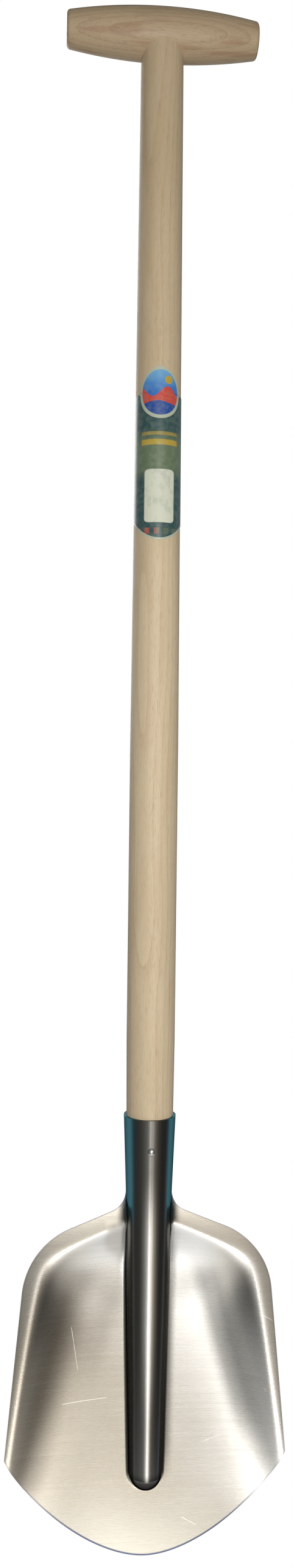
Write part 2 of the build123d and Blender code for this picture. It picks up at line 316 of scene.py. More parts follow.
class Value:
    """A number on a shader socket. Its operators add Math nodes."""

    def __init__(self, graph: "Graph", socket: bpy.types.NodeSocket) -> None:
        """Wrap an output socket of a node."""
        self.graph = graph
        self.socket = socket

    def __add__(self, other: Number) -> "Value":
        """Return the sum."""
        return self.graph.math("ADD", self, other)

    def __sub__(self, other: Number) -> "Value":
        """Return the difference."""
        return self.graph.math("SUBTRACT", self, other)

    def __rsub__(self, other: Number) -> "Value":
        """Return the difference from another number."""
        return self.graph.math("SUBTRACT", other, self)

    def __mul__(self, other: Number) -> "Value":
        """Return the product."""
        return self.graph.math("MULTIPLY", self, other)

    def __truediv__(self, other: Number) -> "Value":
        """Return the quotient."""
        return self.graph.math("DIVIDE", self, other)

    def __rtruediv__(self, other: Number) -> "Value":
        """Return the quotient of another number by this one."""
        return self.graph.math("DIVIDE", other, self)

    def __pow__(self, power: Number) -> "Value":
        """Return the power."""
        return self.graph.math("POWER", self, power)

    def __rpow__(self, base: Number) -> "Value":
        """Return another number to the power of this one."""
        return self.graph.math("POWER", base, self)

    def __abs__(self) -> "Value":
        """Return the size without its sign."""
        return self.graph.math("ABSOLUTE", self)

    __radd__ = __add__
    __rmul__ = __mul__

    def sine(self) -> "Value":
        """Return the sine."""
        return self.graph.math("SINE", self)

    def part(self) -> "Value":
        """Return what is left over a whole number."""
        return self.graph.math("FRACT", self)

    def most(self, other: Number) -> "Value":
        """Return the larger of two numbers."""
        return self.graph.math("MAXIMUM", self, other)

    def step(self, low: float, high: float) -> "Value":
        """Return a smooth step, rising or falling.

        Args:
            low: Limit where the step is 0.
            high: Limit where it is 1, above or below the other.

        Returns:
            The step.
        """
        ends = (low, high, 0.0, 1.0) if low < high else (high, low, 1.0, 0.0)
        names = ("From Min", "From Max", "To Min", "To Max")
        settings = {"interpolation_type": "SMOOTHSTEP"}
        made = self.graph.node("ShaderNodeMapRange", settings, {"Value": self, **dict(zip(names, ends))})
        return Value(self.graph, made.outputs["Result"])

    def window(self, limits: Limits) -> "Value":
        """Return a smooth step up between two limits, and down between two more where there are four."""
        rise = self.step(limits[0], limits[1])
        return rise * self.step(limits[3], limits[2]) if len(limits) == 4 else rise


class Graph:
    """The node tree of one material or world."""

    def __init__(self, owner: Union[bpy.types.Material, bpy.types.World]) -> None:
        """Start an empty tree.

        Args:
            owner: The material or world that it belongs to.
        """
        owner.use_nodes = True
        self.owner = owner
        self.tree = owner.node_tree
        self.tree.nodes.clear()

    def node(
        self,
        kind: str,
        settings: Optional[Mapping[str, Any]] = None,
        inputs: Optional[Mapping[Union[str, int], Any]] = None,
    ) -> bpy.types.Node:
        """Add a node.

        Args:
            kind: The node's type.
            settings: Properties that are set first. The key "stops" holds a ramp's positions and colours.
            inputs: Values or links of its sockets, by name or number.

        Returns:
            The new node.
        """
        made = self.tree.nodes.new(kind)
        for key, setting in (settings or {}).items():
            if key == "stops":
                while len(made.color_ramp.elements) < len(setting):
                    made.color_ramp.elements.new(1.0)
                for element, (position, colour) in zip(made.color_ramp.elements, setting):
                    element.position = position
                    element.color = (*colour, 1.0)
            else:
                setattr(made, key, setting)
        for key, value in (inputs or {}).items():
            socket = made.inputs[key]
            if isinstance(value, Value):
                self.tree.links.new(value.socket, socket)
            elif isinstance(value, bpy.types.NodeSocket):
                self.tree.links.new(value, socket)
            elif isinstance(value, tuple) and socket.type == "RGBA":
                socket.default_value = (*value, 1.0)
            else:
                socket.default_value = value
        return made

    def math(self, operation: str, *values: Number) -> Value:
        """Add a Math node and return its result."""
        made = self.node("ShaderNodeMath", {"operation": operation}, dict(enumerate(values)))
        return Value(self, made.outputs[0])

    def split(self, vector: bpy.types.NodeSocket, scale: float = 1.0) -> tuple[Value, ...]:
        """Return the three parts of a vector, times a scale."""
        parts = self.node("ShaderNodeSeparateXYZ", inputs={0: vector}).outputs
        return tuple(Value(self, part) * scale for part in parts)

    def position(self) -> tuple[Value, ...]:
        """Return the three Object coordinates in millimetres."""
        return self.split(self.node("ShaderNodeTexCoord").outputs["Object"], 1 / MM)

    def mark(self, name: str) -> Value:
        """Return a value that the mesh carries at its points."""
        return Value(self, self.node("ShaderNodeAttribute", {"attribute_name": name}).outputs["Fac"])

    def ray(self, kind: str) -> Value:
        """Return 1 for light paths of one kind, such as Camera, and 0 for others."""
        return Value(self, self.node("ShaderNodeLightPath").outputs[f"Is {kind} Ray"])

    def noise(self, place: Sequence[Number], scales: Triple, detail: float, roughness: float = 0.5) -> Value:
        """Return smooth noise of about 0 to 1.

        Args:
            place: Three coordinates.
            scales: Swells to a unit of each of them.
            detail: Number of finer layers.
            roughness: Strength of the finer layers.

        Returns:
            The noise at the place.
        """
        parts = dict(enumerate(part * scale for part, scale in zip(place, scales)))
        vector = self.node("ShaderNodeCombineXYZ", inputs=parts).outputs[0]
        inputs = {"Vector": vector, "Scale": 1.0, "Detail": detail, "Roughness": roughness}
        return Value(self, self.node("ShaderNodeTexNoise", inputs=inputs).outputs[0])

    def mix(self, share: Number, first: Any, second: Any) -> bpy.types.NodeSocket:
        """Return a colour that goes from the first to the second."""
        inputs = {0: share, 6: first, 7: second}
        return self.node("ShaderNodeMix", {"data_type": "RGBA", "clamp_factor": True}, inputs).outputs[2]

    def paint(self, ground: Any, layers: Sequence[tuple[Number, Any]]) -> Any:
        """Return a colour with layers laid over it in turn.

        Args:
            ground: The colour below.
            layers: Share and colour of each layer.

        Returns:
            The colour on top.
        """
        for share, colour in layers:
            ground = self.mix(share, ground, colour)
        return ground

    def ramp(self, share: Value, stops: Sequence[tuple[float, Colour]]) -> bpy.types.NodeSocket:
        """Return the colour at a share along a row of stops."""
        return self.node("ShaderNodeValToRGB", {"stops": stops}, {0: share}).outputs[0]

    def bump(self, height: Value, distance: float) -> bpy.types.NodeSocket:
        """Return a normal that follows a height of 0 to 1 over a distance in millimetres."""
        return self.node("ShaderNodeBump", inputs={"Height": height, "Distance": distance * MM}).outputs[0]

    def surface(self, inputs: Mapping[str, Any]) -> bpy.types.Material:
        """Close the tree with a Principled shader.

        Args:
            inputs: Values or links of the shader's sockets.

        Returns:
            The material.
        """
        shader = self.node("ShaderNodeBsdfPrincipled", inputs=inputs).outputs[0]
        self.node("ShaderNodeOutputMaterial", inputs={"Surface": shader})
        return self.owner


def new_graph(name: str) -> Graph:
    """Return an empty graph for a new material."""
    return Graph(bpy.data.materials.new(name))


@dataclass(frozen=True)
class AshWood:
    """Sanded and thinly lacquered ash.

    Growth rings are cylinders about a pith line beside the piece, bent a little by slow noise. Each ring runs
    from pale to a thin dark line. Short dark pores lie along the grain.

    Attributes:
        name: Name of the material.
        grain: Axis that the grain follows.
        pith: Place of the pith line across the grain, in millimetres.
        pale: Colour between the rings.
        dark: Colour of the ring lines.
        streak: Colour of the warm streaks.
        streak_share: Strength of the streaks.
        streak_shift: Move of the streaks' noise in millimetres, away from the other noise.
        ring: Ring spacing in millimetres.
        lean: Rise of the rings along the grain.
        bend: Bend of the rings in millimetres.
        contrast: Strength of the ring lines.
        upper_darkening: Strength of the darker stretch below the grip.
        upper_darkening_span: Heights where that stretch begins and is full.
    """

    name: str
    grain: Axis
    pith: Span
    pale: Colour
    dark: Colour
    streak: Colour
    streak_share: float = 0.3
    streak_shift: float = 43.75
    ring: float = 3.4
    lean: float = 0.012
    bend: float = 9.0
    contrast: float = 0.55
    upper_darkening: float = 0.0
    upper_darkening_span: Span = (-560.0, -60.0)

    def material(self) -> bpy.types.Material:
        """Return the finish as a new material.

        Returns:
            The material.
        """
        graph = new_graph(self.name)
        where = graph.position()
        first, second, along = spot = [where[axis] for axis in self.grain.value]
        slow = graph.noise(spot, (0.03, 0.03, 0.006), 1.0)
        fine = graph.noise(spot, (2.6, 2.6, 0.05), 3.0, 0.6)
        pore = graph.noise(spot, (3.2, 3.2, 0.14), 1.0).step(0.60, 0.72)
        tone = graph.noise(spot, (0.09, 0.09, 0.012), 2.0).step(0.3, 0.7)
        moved = (first + self.streak_shift, second, along)
        warm = graph.noise(moved, (0.16, 0.16, 0.016), 1.0).step(0.52, 0.72)
        reach = ((first - self.pith[0]) ** 2.0 + (second - self.pith[1]) ** 2.0) ** 0.5
        line = ((reach + along * self.lean + slow * self.bend) / self.ring).part() ** 3.0
        layers = [
            (line * self.contrast + (fine - 0.5) * 0.5, self.dark),
            (pore * (line * 0.5 + 0.18), self.dark),
            (warm * self.streak_share, self.streak),
            # Darker towards the top of the shaft over the given span of heights.
            (tone * 0.16 + where[2].step(*self.upper_darkening_span) * self.upper_darkening, self.dark),
        ]
        inputs = {
            "Base Color": graph.paint(self.pale, layers),
            "Roughness": fine * 0.12 + pore * 0.12 + 0.42,
            "Normal": graph.bump(fine * 0.5 - pore * 0.6 - line * 0.2, 0.12),
            "Coat Weight": 0.05,
            "Coat Roughness": 0.32,
            "Specular IOR Level": 0.2,
        }
        return graph.surface(inputs)


@dataclass(frozen=True)
class HeadPoint:
    """What the steel's finish reads at a point of the head, with lengths in millimetres.

    Attributes:
        right: Distance to the right of the middle.
        back: Distance behind the shaft axis.
        drop: Drop below the mouth.
        crease: Distance inside the crease, negative on the flange.
        rim: Distance from the outline.
        rib: 1 on rib and socket, 0 on the scoop.
        outer: 1 on the front of the sheet, 0 behind it.
    """

    right: Value
    back: Value
    drop: Value
    crease: Value
    rim: Value
    rib: Value
    outer: Value


@dataclass(frozen=True)
class Region:
    """A soft-edged region of the head.

    A measure that counts has two limits, where the region begins and is full, or four, with where it starts
    to fade and ends. The mask is the product of the smooth steps between them.

    Attributes:
        share: Strength where it is full.
        right: Limits to the right of the middle.
        side: Limits of the distance from the middle, to both sides.
        back: Limits behind the shaft axis.
        drop: Limits below the mouth.
        crease: Limits inside the crease.
    """

    share: float = 1.0
    right: Limits = ()
    side: Limits = ()
    back: Limits = ()
    drop: Limits = ()
    crease: Limits = ()

    def mask(self, at: HeadPoint) -> Value:
        """Return the region's strength at a point.

        Args:
            at: The point.

        Returns:
            The mask.
        """
        across = [(at.right, self.right), (abs(at.right), self.side), (at.back, self.back)]
        measures = [*across, (at.drop, self.drop), (at.crease, self.crease)]
        return math.prod((value.window(limits) for value, limits in measures if limits), start=self.share)


@dataclass(frozen=True)
class ShadeBand:
    """A band of painted shade on one half of the scoop, along a line that leans towards the front.

    Attributes:
        side: 1.0 on the right, -1.0 on the left.
        start: Distance of the line from the middle at the mouth, in millimetres.
        reach: Where the band begins, is full, starts to fade and ends, in millimetres outside the line.
        drops: Drops where it begins, is full, starts to fade and ends.
        share: Strength where it is full.
        lean: Millimetres that the line moves out for each millimetre of drop.
    """

    side: float
    start: float
    reach: Limits
    drops: Limits
    share: float
    lean: float

    def mask(self, at: HeadPoint) -> Value:
        """Return the band's strength at a point: smooth steps up and down across the line and along it."""
        across = at.right * self.side - at.drop * self.lean - self.start
        return across.window(self.reach) * at.drop.window(self.drops) * self.share


@dataclass(frozen=True)
class Scratch:
    """A straight scratch on the front of the blade.

    Attributes:
        start: First end, to the right of the middle and below the mouth, in millimetres.
        end: Second end.
        width: Distance from its middle where the bright line ends.
        core: Distance from its middle that is fully bright.
        taper: Length over which each end fades.
    """

    start: Span
    end: Span
    width: float
    core: float = 0.1
    taper: float = 3.0

    def mask(self, at: HeadPoint) -> Value:
        """Return 1 on the scratch and 0 elsewhere.

        The point is measured along and across the line between both ends. The mask is the product of a narrow
        step across the line and a step that ends with it.

        Args:
            at: The point.

        Returns:
            The mask.
        """
        run = np.subtract(self.end, self.start)
        half = float(np.hypot(*run)) / 2
        run_right, run_drop = (float(part) for part in unit(run))
        middle_right, middle_drop = (float(part) for part in np.add(self.start, self.end) / 2)
        right, drop = at.right - middle_right, at.drop - middle_drop
        along, across = right * run_right + drop * run_drop, right * run_drop - drop * run_right
        return abs(across).step(self.width, self.core) * abs(along).step(half, half - self.taper)


@dataclass(frozen=True)
class PressedSteel:
    """Bright rolled sheet: fine brushing across the blade, darker drawn rib, worn rim, a few scratches, and
    painted shade, highlight and reflection.

    Attributes:
        name: Name of the material.
        mouth_z: Height of the socket mouth.
        rough: Mean roughness.
        bright: Colour of the brushed sheet.
        warm: Colour of its warm tone, of the painted reflection on the left half and of the painted shade on
            the rear flange and corners.
        plain: Colour of the worn front.
        drawn: Colour of rib and socket.
        wear_and_highlight: Colour of the painted highlight along the rib's crest.
        teal_sides: Colour of the socket's sides, a teal tint.
        deep: Colour of the painted shade in all dark regions and strips.
        bare: Colour of the scratches.
        ground: Colour of the ground edge.
        front: The worn front.
        flange: Painted shade on the flange at the rear.
        corner: Painted shade on the wall inside the rear corners.
        nook_shade: Painted shade on the floor inside the rear corners.
        web_shade: Painted shade between socket and flange.
        throat_shade: Painted shade at the start of the scoop beside the rib.
        rib_shade: Painted shade on the sides of the rib.
        nose: Painted shade on the end of the rib.
        crest: Painted highlight along the rib's crest.
        flank: The teal sides of the socket.
        dull: The duller floor to the left of the rib's top.
        foot: Painted shade in a band along the rib's right foot.
        foot_shade_wane: Drops where that painted shade is weakest and strongest.
        shade_bands: Painted shade in strips where the side walls run out, and a lighter strip on the left of
            the floor.
        scratches: Scratches that show.
    """

    name: str = "pressed_steel"
    mouth_z: float = MOUTH_Z
    rough: float = 0.27
    bright: Colour = (0.90, 0.89, 0.865)
    warm: Colour = (0.55, 0.51, 0.44)
    plain: Colour = (0.585, 0.565, 0.505)
    drawn: Colour = (0.33, 0.325, 0.31)
    wear_and_highlight: Colour = (0.95, 0.94, 0.92)
    teal_sides: Colour = (0.18, 0.43, 0.51)
    deep: Colour = (0.05, 0.047, 0.045)
    bare: Colour = (0.95, 0.93, 0.88)
    ground: Colour = (0.10, 0.12, 0.20)
    front: Region = Region(drop=(300.0, 345.0))
    flange: Region = Region(0.8, drop=(135.0, 100.0), crease=(1.0, -4.0))
    corner: Region = Region(0.7, side=(38.0, 70.0), drop=(190.0, 125.0), crease=(-1.0, 5.0, 7.0, 34.0))
    nook_shade: Region = Region(0.6, side=(55.0, 84.0), drop=(215.0, 145.0), crease=(-1.0, 5.0))
    web_shade: Region = Region(side=(27.0, 20.0), drop=(94.0, 84.0))
    throat_shade: Region = Region(0.9, side=(23.0, 18.0), drop=(140.0, 100.0))
    rib_shade: Region = Region(back=(-8.0, 0.0), drop=(66.0, 80.0))
    nose: Region = Region(drop=(288.0, 298.0))
    crest: Region = Region(side=(9.0, 2.0), drop=(40.0, 100.0, 150.0, 260.0))
    flank: Region = Region(side=(10.5, 15.0), back=(9.0, 1.0), drop=(92.0, 70.0))
    dull: Region = Region(0.45, right=(-38.0, -27.0, -20.0, -17.0), drop=(84.0, 92.0, 106.0, 124.0))
    foot: ShadeBand = ShadeBand(1.0, 21.2, (-17.0, -9.0, 0.5, 9.0), (96.0, 125.0, 270.0, 308.0), 1.0, -0.022)
    foot_shade_wane: Span = (290.0, 190.0)
    shade_bands: tuple[ShadeBand, ...] = (
        ShadeBand(1.0, 13.4, (-18.0, -4.0, 4.0, 18.0), (112.0, 150.0, 235.0, 312.0), 0.54, 0.275),
        ShadeBand(-1.0, 22.0, (-20.0, 0.0, 4.0, 20.0), (118.0, 155.0, 300.0, 335.0), 0.43, 0.25),
        ShadeBand(-1.0, 0.0, (-24.0, -8.0, 4.0, 24.0), (138.0, 165.0, 185.0, 240.0), 0.22, 0.25),
    )
    scratches: tuple[Scratch, ...] = (
        Scratch((92.0, 164.0), (105.0, 172.0), 0.7),
        Scratch((97.0, 227.0), (99.5, 231.0), 0.8),
        Scratch((47.0, 274.0), (63.0, 268.0), 0.5),
        Scratch((29.0, 332.0), (44.0, 340.0), 0.5),
        Scratch((-62.0, 176.0), (-56.0, 214.0), 0.35),
        Scratch((-31.0, 236.0), (-70.0, 240.0), 0.35),
    )

    def painted_reflection_share(self, at: HeadPoint, patch: Value) -> Value:
        """Return the strength of the painted warm reflection, to the left of a slanted border that patches
        break up.
        """
        border = at.right + patch * 50.0 - (at.drop - 190.0) * 0.5
        return border.step(75.0, -45.0) * (at.drop.step(105.0, 190.0) * 0.5 + 0.5)

    def material(self) -> bpy.types.Material:
        """Return the finish as a new material.

        Layers lie over the bright sheet in turn: warm tones with a painted reflection and painted shade,
        painted shade in dark regions of the scoop, rib and socket with a painted highlight on the crest and
        painted shade on the sides and end, the teal sides of the socket, the worn front, scratches and the
        ground edge.

        Returns:
            The material.
        """
        graph = new_graph(self.name)
        where = graph.position()
        marks = (graph.mark(name) for name in ("crease", "rim", "rib"))
        at = HeadPoint(where[0], where[1], self.mouth_z - where[2], *marks, 1.0 - graph.mark("behind"))
        scoop = 1.0 - at.rib
        brushed = graph.noise(where, (0.018, 0.05, 1.9), 3.0, 0.65)
        lengthways = graph.noise(where, (1.5, 0.5, 0.012), 3.0, 0.6)
        patch = graph.noise(where, (0.014, 0.02, 0.02), 2.0)
        rolled = graph.noise(where, (0.006, 0.02, 0.35), 2.0)
        grain = brushed * scoop + lengthways * at.rib
        scratch = functools.reduce(Value.most, [mark.mask(at) for mark in self.scratches]) * at.outer
        front = self.front.mask(at) * scoop
        # Mask of painted shade beside the rib's right foot.
        foot = self.foot.mask(at) * (at.drop.step(*self.foot_shade_wane) * 0.25 + 0.6)
        # Masks of painted shade between socket and flange, at the start of the scoop, and on the rib's sides
        # and end.
        web_shade = self.web_shade.mask(at).most(self.throat_shade.mask(at) * at.outer) * scoop
        rib_shade = self.rib_shade.mask(at).most(self.nose.mask(at)) * at.rib
        flank = self.flank.mask(at) * at.rib
        layers = [
            # Painted warm reflection on the left half, broken up by patches, with random tone from the rolled
            # noise.
            (self.painted_reflection_share(at, patch) + (rolled - 0.5) * 0.35, self.warm),
            ((grain - 0.5) * 0.5, self.warm),
            # Painted shade, in the warm colour, on the rear flange and on the wall inside the rear corners.
            (self.flange.mask(at) + self.corner.mask(at), self.warm),
            # Painted shade, in the dark colour, on the floor inside the rear corners and in strips along the
            # side walls.
            *((shade.mask(at) * at.outer, self.deep) for shade in (self.nook_shade, *self.shade_bands)),
            # Painted shade beside the rib's right foot.
            (foot * at.outer, self.deep),
            # Rib and socket in their darker colour, with a painted highlight along the crest.
            (at.rib, graph.mix(self.crest.mask(at), self.drawn, self.wear_and_highlight)),
            # Painted shade between socket and flange, beside the rib's top and on the rib's sides and end,
            # kept off the teal sides.
            (web_shade.most(rib_shade) * (1.0 - flank), self.deep),
            (flank, self.teal_sides),
            (front * 0.8, self.plain),
            ((lengthways - 0.5) * front * 0.9, self.warm),
            (scratch * 0.85, self.bare),
            (at.rim.step(1.9, 0.8) * (front * 0.7 + 0.25), self.ground),
        ]
        gloss = (grain - 0.5) * 0.08 + self.rough - at.rib * 0.05 + at.rim.step(1.4, 0.3) * 0.06
        inputs = {
            "Base Color": graph.paint(self.bright, layers),
            "Roughness": gloss + scratch * 0.12 + self.dull.mask(at) * scoop * at.outer,
            "Normal": graph.bump(grain * 0.3 + scratch, 0.02),
            "Metallic": 1.0,
            "Specular Tint": (0.28, 0.28, 0.28),
        }
        return graph.surface(inputs)


@dataclass(frozen=True)
class RivetSteel:
    """Plain steel with hammered, slightly dull faces.

    Attributes:
        name: Name of the material.
        colour: Colour of the metal.
        dull: Colour in its pits.
        rough: Mean roughness.
    """

    name: str
    colour: Colour = (0.55, 0.54, 0.52)
    dull: Colour = (0.26, 0.25, 0.23)
    rough: float = 0.34

    def material(self) -> bpy.types.Material:
        """Return the finish as a new material.

        Returns:
            The material.
        """
        graph = new_graph(self.name)
        where = graph.position()
        dent = graph.noise(where, (0.9, 0.9, 0.9), 2.0)
        pit = graph.noise(where, (3.5, 3.5, 3.5), 2.0).step(0.55, 0.72)
        colour = graph.mix(pit * 0.55 + (dent - 0.5) * 0.4, self.colour, self.dull)
        normal = graph.bump(dent * 0.8 - pit * 0.3, 0.12)
        gloss = pit * 0.18 + (dent - 0.5) * 0.1 + self.rough
        return graph.surface({"Base Color": colour, "Roughness": gloss, "Normal": normal, "Metallic": 1.0})


@dataclass(frozen=True)
class PrintedFilm:
    """Printed label: pale border, landscape under the rounded top, teal body with lines and colour chips.

    The print is drawn on the film's own map, in millimetres around the shaft and above the label's foot.

    Attributes:
        name: Name of the material.
        border: Colour of the border.
        body: Colour of the body.
        moss: Colour of the zone between the lines.
        gold: Colour of lines and sun.
        sky: Colour behind the hills.
        haze: Colour of the upper sky.
        clay: Colour of the hills.
        lake: Colour of the lake in front of them.
        zone: Heights where the zone begins, is full, starts to fade and ends.
        lines: Height, outer and inner half width and strength of each line.
        line_half: Distances from the middle where the lines end and are full.
        chip_step: Spacing of the chips.
        chip_rows: Heights where the row of chips begins, is full, starts to fade and ends.
        badge: Height of the middle of the round picture.
        stretch: How much taller than wide that picture is.
        ring: Distances from that middle where the ring around the picture begins and is full.
        inner: The same for the picture itself.
        sun: Place of the sun.
        hills: Waves to a millimetre, shift, swing and mean height of the hills and the lake.
    """

    name: str = "label_print"
    border: Colour = linear(176, 184, 164)
    body: Colour = linear(48, 78, 80)
    moss: Colour = linear(104, 120, 90)
    gold: Colour = linear(184, 156, 52)
    sky: Colour = linear(48, 112, 190)
    haze: Colour = linear(104, 164, 208)
    clay: Colour = linear(196, 74, 62)
    lake: Colour = linear(34, 74, 150)
    zone: Limits = (48.0, 60.0, 78.0, 92.0)
    lines: tuple[Limits, ...] = ((79.0, 2.6, 1.8, 1.0), (86.0, 1.8, 1.0, 0.6))
    line_half: Span = (17.0, 15.0)
    chip_step: float = 8.0
    chip_rows: Limits = (4.5, 5.0, 9.5, 10.0)
    badge: float = 119.0
    stretch: float = 1.145
    ring: Span = (21.3, 20.7)
    inner: Span = (18.6, 18.0)
    sun: Span = (7.0, 129.5)
    hills: tuple[Limits, ...] = ((0.26, 0.0, 4.0, 120.0), (0.17, 2.0, 1.4, 111.0))

    def landscape(self, graph: Graph, around: Value, up: Value) -> bpy.types.NodeSocket:
        """Return the colours of the round picture: sky, sun, and hills and lake as sine waves in front of it.

        Args:
            graph: Graph of the material.
            around: Distance around the shaft from the middle of the label.
            up: Height above its foot.

        Returns:
            The colour at the point.
        """
        sun = ((around - self.sun[0]) ** 2.0 + (up - self.sun[1]) ** 2.0).step(13.0, 9.0)
        layers = [(up.step(118.0, 138.0), self.haze), (sun, self.gold)]
        for (pace, shift, swing, level), tint in zip(self.hills, (self.clay, self.lake)):
            crest = (around * pace + shift).sine() * swing + level
            layers.append(((crest - up).step(-0.4, 0.4), tint))
        return graph.paint(self.sky, layers)

    def material(self) -> bpy.types.Material:
        """Return the finish as a new material.

        Returns:
            The material.
        """
        graph = new_graph(self.name)
        where = graph.split(graph.node("ShaderNodeUVMap", {"uv_map": "print"}).outputs[0], MAP_UNIT)
        around, up = where[:2]
        lines = sum(abs(up - height).step(outer, inner) * share for height, outer, inner, share in self.lines)
        chips = ((around + 40.0) / self.chip_step).part().step(0.45, 0.5) * up.window(self.chip_rows)
        reach = ((around * self.stretch) ** 2.0 + (up - self.badge) ** 2.0) ** 0.5
        fade = graph.noise(where, (0.2, 0.2, 0.0), 3.0, 0.6)
        fold = graph.noise(where, (0.05, 0.4, 0.0), 1.0)
        layers = [
            (up.window(self.zone) * 0.85, self.moss),
            (lines * abs(around).step(*self.line_half) * 0.9, self.gold),
            (chips * 0.6, graph.mix(around.step(-6.0, 2.0), self.clay, self.moss)),
            (reach.step(*self.ring), self.border),
            (reach.step(*self.inner), self.landscape(graph, around, up)),
            (graph.mark("margin").step(1.9, 1.5), self.border),
            (fade.step(0.35, 0.8) * 0.18, self.border),
        ]
        inputs = {
            "Base Color": graph.paint(self.body, layers),
            "Roughness": fade * 0.12 + 0.30,
            "Normal": graph.bump(fold * 0.6 + fade * 0.2, 0.12),
            "Coat Weight": 0.25,
            "Coat Roughness": 0.2,
        }
        return graph.surface(inputs)


@dataclass(frozen=True)
class PlainPaper:
    """Bare white sticker with faint fibres and worn edges.

    Attributes:
        name: Name of the material.
        white: Colour of the paper.
        wear_and_highlight: Colour of its edges and smudges.
    """

    name: str = "sticker_paper"
    white: Colour = linear(206, 210, 192)
    wear_and_highlight: Colour = linear(158, 160, 146)

    def material(self) -> bpy.types.Material:
        """Return the finish as a new material.

        Returns:
            The material.
        """
        graph = new_graph(self.name)
        where = graph.position()
        fibre = graph.noise(where, (1.6, 1.6, 1.1), 4.0, 0.65)
        smudge = graph.noise(where, (0.14, 0.14, 0.09), 2.0).step(0.5, 0.75)
        share = smudge * 0.45 + (fibre - 0.5) * 0.5 + graph.mark("margin").step(1.2, 0.2) * 0.5
        colour = graph.mix(share, self.white, self.wear_and_highlight)
        normal = graph.bump(fibre, 0.04)
        return graph.surface({"Base Color": colour, "Roughness": fibre * 0.15 + 0.5, "Normal": normal})


@dataclass(frozen=True)
class Crossbar:
    """Turned grip: an arc turned about X, with rounded ends, a mortise for the tenon and a hole for the pin.

    Attributes:
        length: Length along X.
        middle_r: Radius in the middle.
        end_r: Radius at the ends, before rounding.
        edge: Radius of the rounded ends.
        mortise_r: Radius of the mortise.
        pin_r: Radius of the pin hole.
        pin_drop: Drop of the pin hole below the axis.
        pin_depth: Front end of the pin hole.
        mortise_clear: Distance from the axis where the mortise's cutter ends, outside the barrel.
        pin_clear: The same for the pin hole's cutter.
    """

    length: float = 157.0
    middle_r: float = 20.5
    end_r: float = 13.75
    edge: float = 3.0
    mortise_r: float = 12.15
    pin_r: float = 2.55
    pin_drop: float = 3.5
    pin_depth: float = -8.45
    mortise_clear: float = 40.0
    pin_clear: float = 30.0

    def radius(self, along: Array) -> Array:
        """Return the barrel's radius: an arc through both ends and the middle.

        Args:
            along: Place along X.

        Returns:
            The radius there.
        """
        rise = self.middle_r - self.end_r
        bow = ((self.length / 2) ** 2 + rise**2) / (2 * rise)
        return np.sqrt(bow**2 - np.minimum(np.abs(along), self.length / 2) ** 2) - bow + self.middle_r

    def top(self, right: Array, back: Array) -> Array:
        """Return the height of the barrel's upper surface over a point."""
        return np.sqrt(np.maximum(self.radius(right) ** 2 - back**2, 0.0))

    def build(self, finish: AshWood) -> bpy.types.Object:
        """Make the crossbar and dress it.

        Args:
            finish: Its wood.

        Returns:
            The finished piece.
        """
        half = self.length / 2
        along = np.linspace(0.0, half - self.edge, 70)
        bow = np.stack([self.radius(along), along], axis=-1)
        corner = np.array([self.end_r, half])
        arc = round_corner(bow[-1], corner, np.array([0.0, half]), self.edge, 9)
        flat = np.stack([np.linspace(arc[-1, 0], 0.0, 6)[1:], np.full(5, half)], axis=-1)
        side = np.concatenate([bow[along < arc[0, 1] - 0.2], arc, flat])
        profile = np.concatenate([side[:0:-1] * np.array([1.0, -1.0]), side])
        piece = mesh_piece("turned_crossbar", [turned(profile, Axis.X)])
        through, bore = (-self.mortise_clear, self.mortise_clear), (self.pin_depth, self.pin_clear)
        cut_away(piece, self.cutter("mortise_cutter", self.mortise_r, through, Axis.Z, (0.0, 0.0, 0.0)))
        cut_away(piece, self.cutter("pin_cutter", self.pin_r, bore, Axis.Y, (0.0, 0.0, -self.pin_drop)))
        return place(piece, finish.material(), "crossbar_wood", "crossbar")

    @staticmethod
    def cutter(name: str, radius: float, span: Span, axis: Axis, shift: Triple) -> bpy.types.Object:
        """Return a closed cylinder that cuts a hole.

        Args:
            name: Name of the form.
            radius: Radius of the hole.
            span: Lower and upper end along the axis.
            axis: Axis of the hole.
            shift: Move from the origin.

        Returns:
            The cylinder.
        """
        rows = np.array([[0.0, span[0]], [radius, span[0]], [radius, span[1]], [0.0, span[1]]])
        patch = turned(rows, axis, 72)
        patch.points += np.array(shift)
        return mesh_piece(name, [patch])


